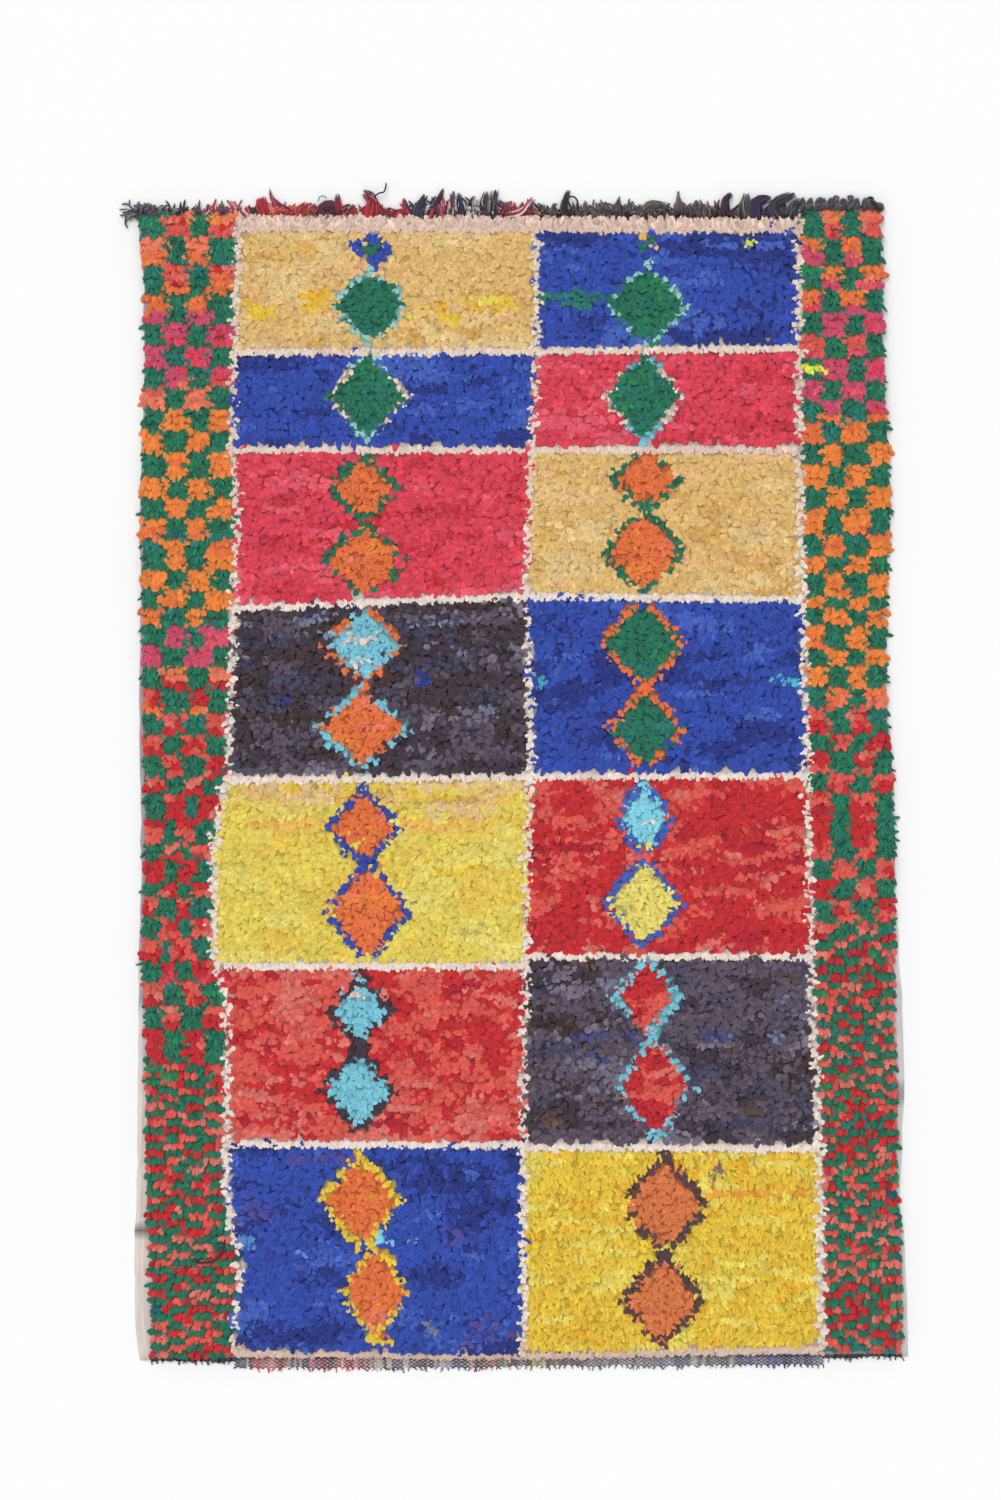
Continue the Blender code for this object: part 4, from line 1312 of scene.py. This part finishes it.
def tapered(radius, places, shares):
    """The radii along each strand, as shares of its own at these places along it."""
    return radius[:, None] * np.interp(np.linspace(0, 1, STRAND_POINTS), places, shares)[None]


def join_parts(parts):
    """Mesh parts as one, with their corner numbers moved on."""
    moved, so_far = [], 0
    for points, corners, sizes, shades in parts:
        moved.append((points, corners + so_far, sizes, shades))
        so_far += len(points)
    return joined(moved)


def shade_of(names, numbers, rng):
    """Tints of the chosen colours of a list, each a little lighter or darker."""
    codes = np.array([CODE[name] for name in names.split()])
    return TINTS[codes[numbers % len(codes)]] * rng.uniform(0.6, 1.2, len(numbers))[:, None]


def some_shades(names, count, rng):
    """Tints picked from a list of colours, as many as that."""
    return shade_of(names, rng.integers(0, 60, count), rng)


def stretch_colours(bands, x, rng):
    """A tint for every strand, from the stretch of the end that it starts in."""
    stretch = np.searchsorted([band.x for band in bands], x, side="right") - 1
    colours = np.zeros((len(x), 3))
    for number, band in enumerate(bands):
        here = stretch == number
        colours[here] = some_shades(band.colours, here.sum(), rng)
    return colours


def band_part(rng):
    """The low curly yarns all along the top end."""
    x = np.arange(BAND_START, BAND_END, BAND_PITCH)
    x = x + rng.normal(0, 1.5, len(x))
    count = len(x)
    angle = rng.normal(*BAND_ANGLE, count)
    reach = rng.uniform(*BAND_REACH, count)
    radius = rng.uniform(*BAND_RADIUS, count)
    root_z = rng.uniform(*BAND_ROOT_Z, count)
    y = BAND_ROOT_Y + rng.uniform(*BAND_SHIFT, count)
    curl = rng.normal(0, BAND_CURL, count)
    paths = strand_paths(x, y, angle, reach, curl, root_z, radius, rng)
    radii = tapered(radius, (0, 0.8, 1), (1, 1, 0.45))
    return strand_mesh(paths, radii, stretch_colours(BANDS, x, rng))


def tangle_part(tangle, rng):
    """Short curly yarns around one place."""
    x = tangle.x + rng.uniform(-1, 1, tangle.count) * tangle.wide
    y = tangle.y + rng.uniform(-1, 1, tangle.count) * tangle.tall
    angle = rng.normal(tangle.angle, tangle.wander, tangle.count)
    reach = tangle.reach * rng.uniform(*TANGLE_REACH, tangle.count)
    radius = rng.uniform(*TANGLE_RADIUS, tangle.count)
    root_z = rng.uniform(*TANGLE_ROOT_Z, tangle.count)
    curl = rng.normal(0, TANGLE_CURL, tangle.count)
    paths = strand_paths(x, y, angle, reach, curl, root_z, radius, rng)
    radii = tapered(radius, (0, 0.8, 1), (0.8, 1, 0.45))
    return strand_mesh(paths, radii, some_shades(tangle.colours, tangle.count, rng))


def lock_part(lock, rng):
    """A bunch of yarns along one line, wide at its foot and drawn together at its tip."""
    line = smooth_line(lock.points, STRAND_POINTS)
    way = np.gradient(line, axis=0)
    way /= np.linalg.norm(way, axis=1, keepdims=True)
    aside = np.stack([-way[:, 1], way[:, 0]], 1)
    share = np.linspace(0, 1, STRAND_POINTS)
    wide = np.interp(share, [0, 0.5, 1], [lock.base, 0.5 * (lock.base + lock.tip) + 1.5, lock.tip])
    turn = rng.uniform(0, 2 * math.pi, lock.count)
    off = np.sqrt(rng.uniform(0, 1, lock.count))
    sideways, up = off * np.cos(turn), off * np.sin(turn)
    wave = rng.uniform(0, 2 * math.pi, lock.count)[:, None] + 5 * share[None]
    shift = sideways[:, None] * wide[None] + LOCK_WAVE * np.sin(wave)
    slip = rng.uniform(*LOCK_SLIP, lock.count)[:, None] * share[None] ** 2
    places = line[None] + aside[None] * shift[:, :, None] + way[None] * slip[:, :, None]
    radius = rng.uniform(*LOCK_RADIUS, lock.count)
    low = radius[:, None] + 0.4
    z = low + (up[:, None] + 1) * 0.5 * wide[None] + rng.uniform(1, 5) * np.sin(math.pi * share)[None]
    paths = np.concatenate([places, np.clip(z, 0.8, HIGHEST - 8)[:, :, None]], 2)
    radii = tapered(radius, (0, 0.75, 1), (1, 1, 0.4))
    return strand_mesh(paths, radii, some_shades(lock.colours, lock.count, rng))


def cord_part(cord, rng):
    """A short twisted cord of two plies, in two colours, with a rounded end."""
    share = np.linspace(0, 1, CORD_POINTS)
    start, end = np.array([cord.x, cord.y]), np.array([cord.end_x, cord.end_y])
    along = end - start
    long = np.linalg.norm(along)
    along = along / long
    aside = np.array([-along[1], along[0]])
    bow = rng.uniform(-CORD_BOW, CORD_BOW) * long
    line = start + along * long * share[:, None] + aside * (bow * np.sin(math.pi * share))[:, None]
    turns = long / (cord.radius * CORD_TWIST)
    fat = cord.radius * np.interp(share, [0, 0.85, 1], [1, 1, 0.55])
    paths, radii = [], []
    for ply in (0, 1):
        turn = 2 * math.pi * turns * share + math.pi * ply
        shift = 0.5 * fat * np.cos(turn)
        z = fat + 0.5 * fat * np.sin(turn) + 1.0
        places = line + aside * shift[:, None]
        paths.append(np.concatenate([places, z[:, None]], 1))
        radii.append(PLY_RADIUS * fat)
    colours = shade_of(cord.colours, np.arange(2), rng)
    return strand_mesh(np.array(paths), np.array(radii), colours)


def smooth_line(points, count):
    """A smooth line of that many points through a few given ones."""
    points = np.asarray(points, float)
    padded = np.concatenate([2 * points[:1] - points[1:2], points, 2 * points[-1:] - points[-2:-1]])
    places = np.linspace(0, len(points) - 1.0001, count)
    number = places.astype(int)
    t = (places - number)[:, None]
    a, b, c, d = [padded[number + shift] for shift in range(4)]
    return 0.5 * (2 * b + (c - a) * t + (2 * a - 5 * b + 4 * c - d) * t ** 2
                  + (3 * b - a - 3 * c + d) * t ** 3)


def yarn_part(yarn, rng, lift=None):
    """A single yarn along its points, on the floor or that high over the pile."""
    line = smooth_line(yarn.points, 4 * len(yarn.points))
    share = np.linspace(0, 1, len(line))
    if lift is None:
        z = yarn.radius + 2 + 8 * np.sin(math.pi * share)
    else:
        z = heights.at(line[:, 0], line[:, 1]) + lift
    path = np.concatenate([line, z[:, None]], 1)[None]
    radii = (yarn.radius * np.interp(share, [0, 0.1, 0.9, 1], [0.5, 1, 1, 0.4]))[None]
    return strand_mesh(path, radii, shade_of(yarn.colour, np.arange(1), rng))


def make_top_fringe():
    rng = np.random.default_rng(SEED + 7)
    cords = list(CORDS)
    for x in np.arange(RIGHT_CORDS_START, RIGHT_CORDS_END, RIGHT_CORDS_PITCH):
        long = RIGHT_CORD_LENGTH * rng.uniform(*RIGHT_CORD_LENGTHS)
        lean = rng.uniform(-RIGHT_CORD_LEAN, RIGHT_CORD_LEAN)
        foot = (x, RIGHT_CORD_Y)
        tip = (x + lean, RIGHT_CORD_Y + long)
        cords.append(Cord(*foot, *tip, rng.uniform(*RIGHT_CORD_RADIUS), "grey_dark charcoal"))
    parts = [band_part(rng)]
    parts += [lock_part(lock, rng) for lock in LOCKS]
    parts += [tangle_part(tangle, rng) for tangle in TANGLES]
    parts += [cord_part(cord, rng) for cord in cords]
    parts += [yarn_part(yarn, rng) for yarn in YARNS]
    return mesh_from("fringe_top_yarns", ["yarn"], *join_parts(parts))


def make_loose_yarn():
    """The dark yarn that lies on the pile of the lower left border."""
    rng = np.random.default_rng(SEED + 9)
    return mesh_from("loose_yarn", ["yarn"], *yarn_part(LOOSE_YARN, rng, LOOSE_YARN_LIFT))


# The net past the bottom end: from where on, and in which colours

NET = table(
    Band,
    (-750, "charcoal grey_dark black"), (-568, "grey cream slate grey_dark"),
    (-536, "crimson rose red"), (-480, "crimson red maroon cream"), (-452, "plum slate navy cream"),
    (-420, "plum crimson rose maroon"), (-370, "crimson red cream crimson"), (-334, "plum rose maroon"),
    (-290, "navy teal cream grey_dark"), (-218, "plum rose maroon"), (-176, "grey_blue slate cream"),
    (-140, "violet plum navy"), (-104, "maroon grey_dark rose"), (-44, "grey cream grey_dark"),
    (12, "olive lemon_soft grey_brown"), (50, "grey_dark grey grey_brown"),
    (180, "grey_brown grey charcoal"), (260, "grey_blue grey slate"), (340, "grey grey_dark cream"),
    (440, "plum navy violet"), (560, "grey_dark slate grey"), (606, "charcoal grey_dark black"),
)
NET_START = -735
NET_END = 765
NET_PITCH = 5.6
NET_SWING = 3.0  # of each yarn to either side, so that it meets its neighbours
NET_REACH = 21.0
STUB_REACH = 6.0
NET_RADIUS = (1.2, 2.0)
CUT_LENGTH = (1, 8)
CUT_SPREAD = 38
CUT_RADIUS = 0.7  # of the yarn's


def net_paths(x, y, reach, radius, rng):
    """Yarns that swing from one neighbour to the other on their way down."""
    share = np.linspace(0, 1, STRAND_POINTS)[None, :]
    turn = np.where((np.arange(len(x))[:, None] + np.arange(STRAND_POINTS)) % 2, 1, -1)
    px = x[:, None] + NET_SWING * turn + rng.normal(0, 0.35, turn.shape)
    py = y[:, None] - reach[:, None] * share + rng.normal(0, 0.3, turn.shape)
    pz = radius[:, None] + 0.4 + 4.0 * (1 - share) ** 2 + rng.uniform(0, 0.6, turn.shape)
    return np.stack([px, py, pz], 2)


def make_bottom_fringe():
    """The netted warp past the bottom end, and the short cut ends of its yarns."""
    rng = np.random.default_rng(SEED + 8)
    x = np.arange(NET_START, NET_END, NET_PITCH)
    y = end_y(x, PILE_BOTTOM_LEFT_Y, PILE_BOTTOM_RIGHT_Y) + 2
    netted = (x > NET[1].x) & (x < NET[-1].x)
    reach = np.where(netted, NET_REACH, STUB_REACH) + rng.uniform(-1, 1, len(x))
    reach = reach + 3 * noise(x, y, 50, 60, 19)
    radius = rng.uniform(*NET_RADIUS, len(x))
    full = np.ones((1, STRAND_POINTS))
    paths = net_paths(x, y, reach, radius, rng)
    net = strand_mesh(paths, radius[:, None] * full, stretch_colours(NET, x, rng))
    ends = paths[:, -1]
    angle = -90 + rng.normal(0, CUT_SPREAD, len(x))
    length = rng.uniform(*CUT_LENGTH, len(x))
    thin = CUT_RADIUS * radius
    loose = strand_paths(ends[:, 0], ends[:, 1], angle, length, 0 * x, thin, thin, rng)
    cut_ends = strand_mesh(loose, thin[:, None] * full, stretch_colours(NET, x, rng))
    return mesh_from("fringe_bottom_net", ["yarn"], *join_parts([net, cut_ends]))


# The stage

FLOOR_SIZE = 600.0
FLOOR_Z = -0.0005
FLOOR_TINT = (0.93, 0.93, 0.93, 1)
CAMERA_HEIGHT = 6.0
CAMERA_LENS = 72.0  # millimetres, on a 36 mm sensor: 3 m of the floor on the frame's long side
CAMERA_X = -39.0  # the middle of the photograph, in design millimetres
CAMERA_Y = 76.0
SUN_STRENGTH = 1.0
SUN_SOFTNESS = 0.6
SUN_TILT = (-32, -20)
WORLD_STRENGTH = 0.80
HORIZON_STRENGTH = 0.98  # as pale as the floor, so that no line shows behind the rug
SKY_FADE = 0.5


def make_floor():
    mesh = bpy.data.meshes.new("floor")
    half = FLOOR_SIZE / 2
    corners = [(x, y, FLOOR_Z) for x, y in ((-half, -half), (half, -half), (half, half), (-half, half))]
    mesh.from_pydata(corners, [], [(0, 1, 2, 3)])
    made = bpy.data.materials.new("pale_floor")
    made.use_nodes = True
    fill_in(made.node_tree.nodes["Principled BSDF"], Base_Color=FLOOR_TINT, Roughness=0.9)
    mesh.materials.append(made)
    floor = new_object("floor", mesh)


def make_lights():
    sun = bpy.data.lights.new("key", "SUN")
    sun.energy = SUN_STRENGTH
    sun.angle = SUN_SOFTNESS
    new_object("key", sun).rotation_euler = (*[math.radians(tilt) for tilt in SUN_TILT], 0)
    world = bpy.data.worlds.new("studio")
    world.use_nodes = True
    tree = world.node_tree
    back = fill_in(tree.nodes["Background"], Color=(1, 1, 1, 1))
    where = node(tree, "ShaderNodeTexCoord")
    parts = node(tree, "ShaderNodeSeparateXYZ")
    link(tree, where, "Generated", parts, "Vector")
    fade = node(tree, "ShaderNodeMapRange", From_Min=0.0, From_Max=SKY_FADE,
                To_Min=HORIZON_STRENGTH, To_Max=WORLD_STRENGTH)
    link(tree, parts, "Z", fade, "Value")
    link(tree, fade, "Result", back, "Strength")
    bpy.context.scene.world = world
    bpy.context.scene.view_settings.view_transform = "Standard"


def make_camera():
    camera = bpy.data.cameras.new("camera")
    camera.lens = CAMERA_LENS
    camera.sensor_width = 36.0
    eye = new_object("camera", camera)
    eye.location = Vector(metres((CAMERA_X, CAMERA_Y, 0))) + Vector((0, 0, CAMERA_HEIGHT))
    bpy.context.scene.camera = eye


make_camera()
make_lights()
make_floor()
pile, knots = make_pile()
bed = make_bed(knots)
ground = make_ground()
top_fringe = make_top_fringe()
bottom_fringe = make_bottom_fringe()
loose_yarn = make_loose_yarn()

for piece in pile + [bed, ground, loose_yarn]:
    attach(piece, BODY)
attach(top_fringe, BODY)
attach(bottom_fringe, BODY)
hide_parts("rug_body")
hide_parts("fringe_top")
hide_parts("fringe_bottom")
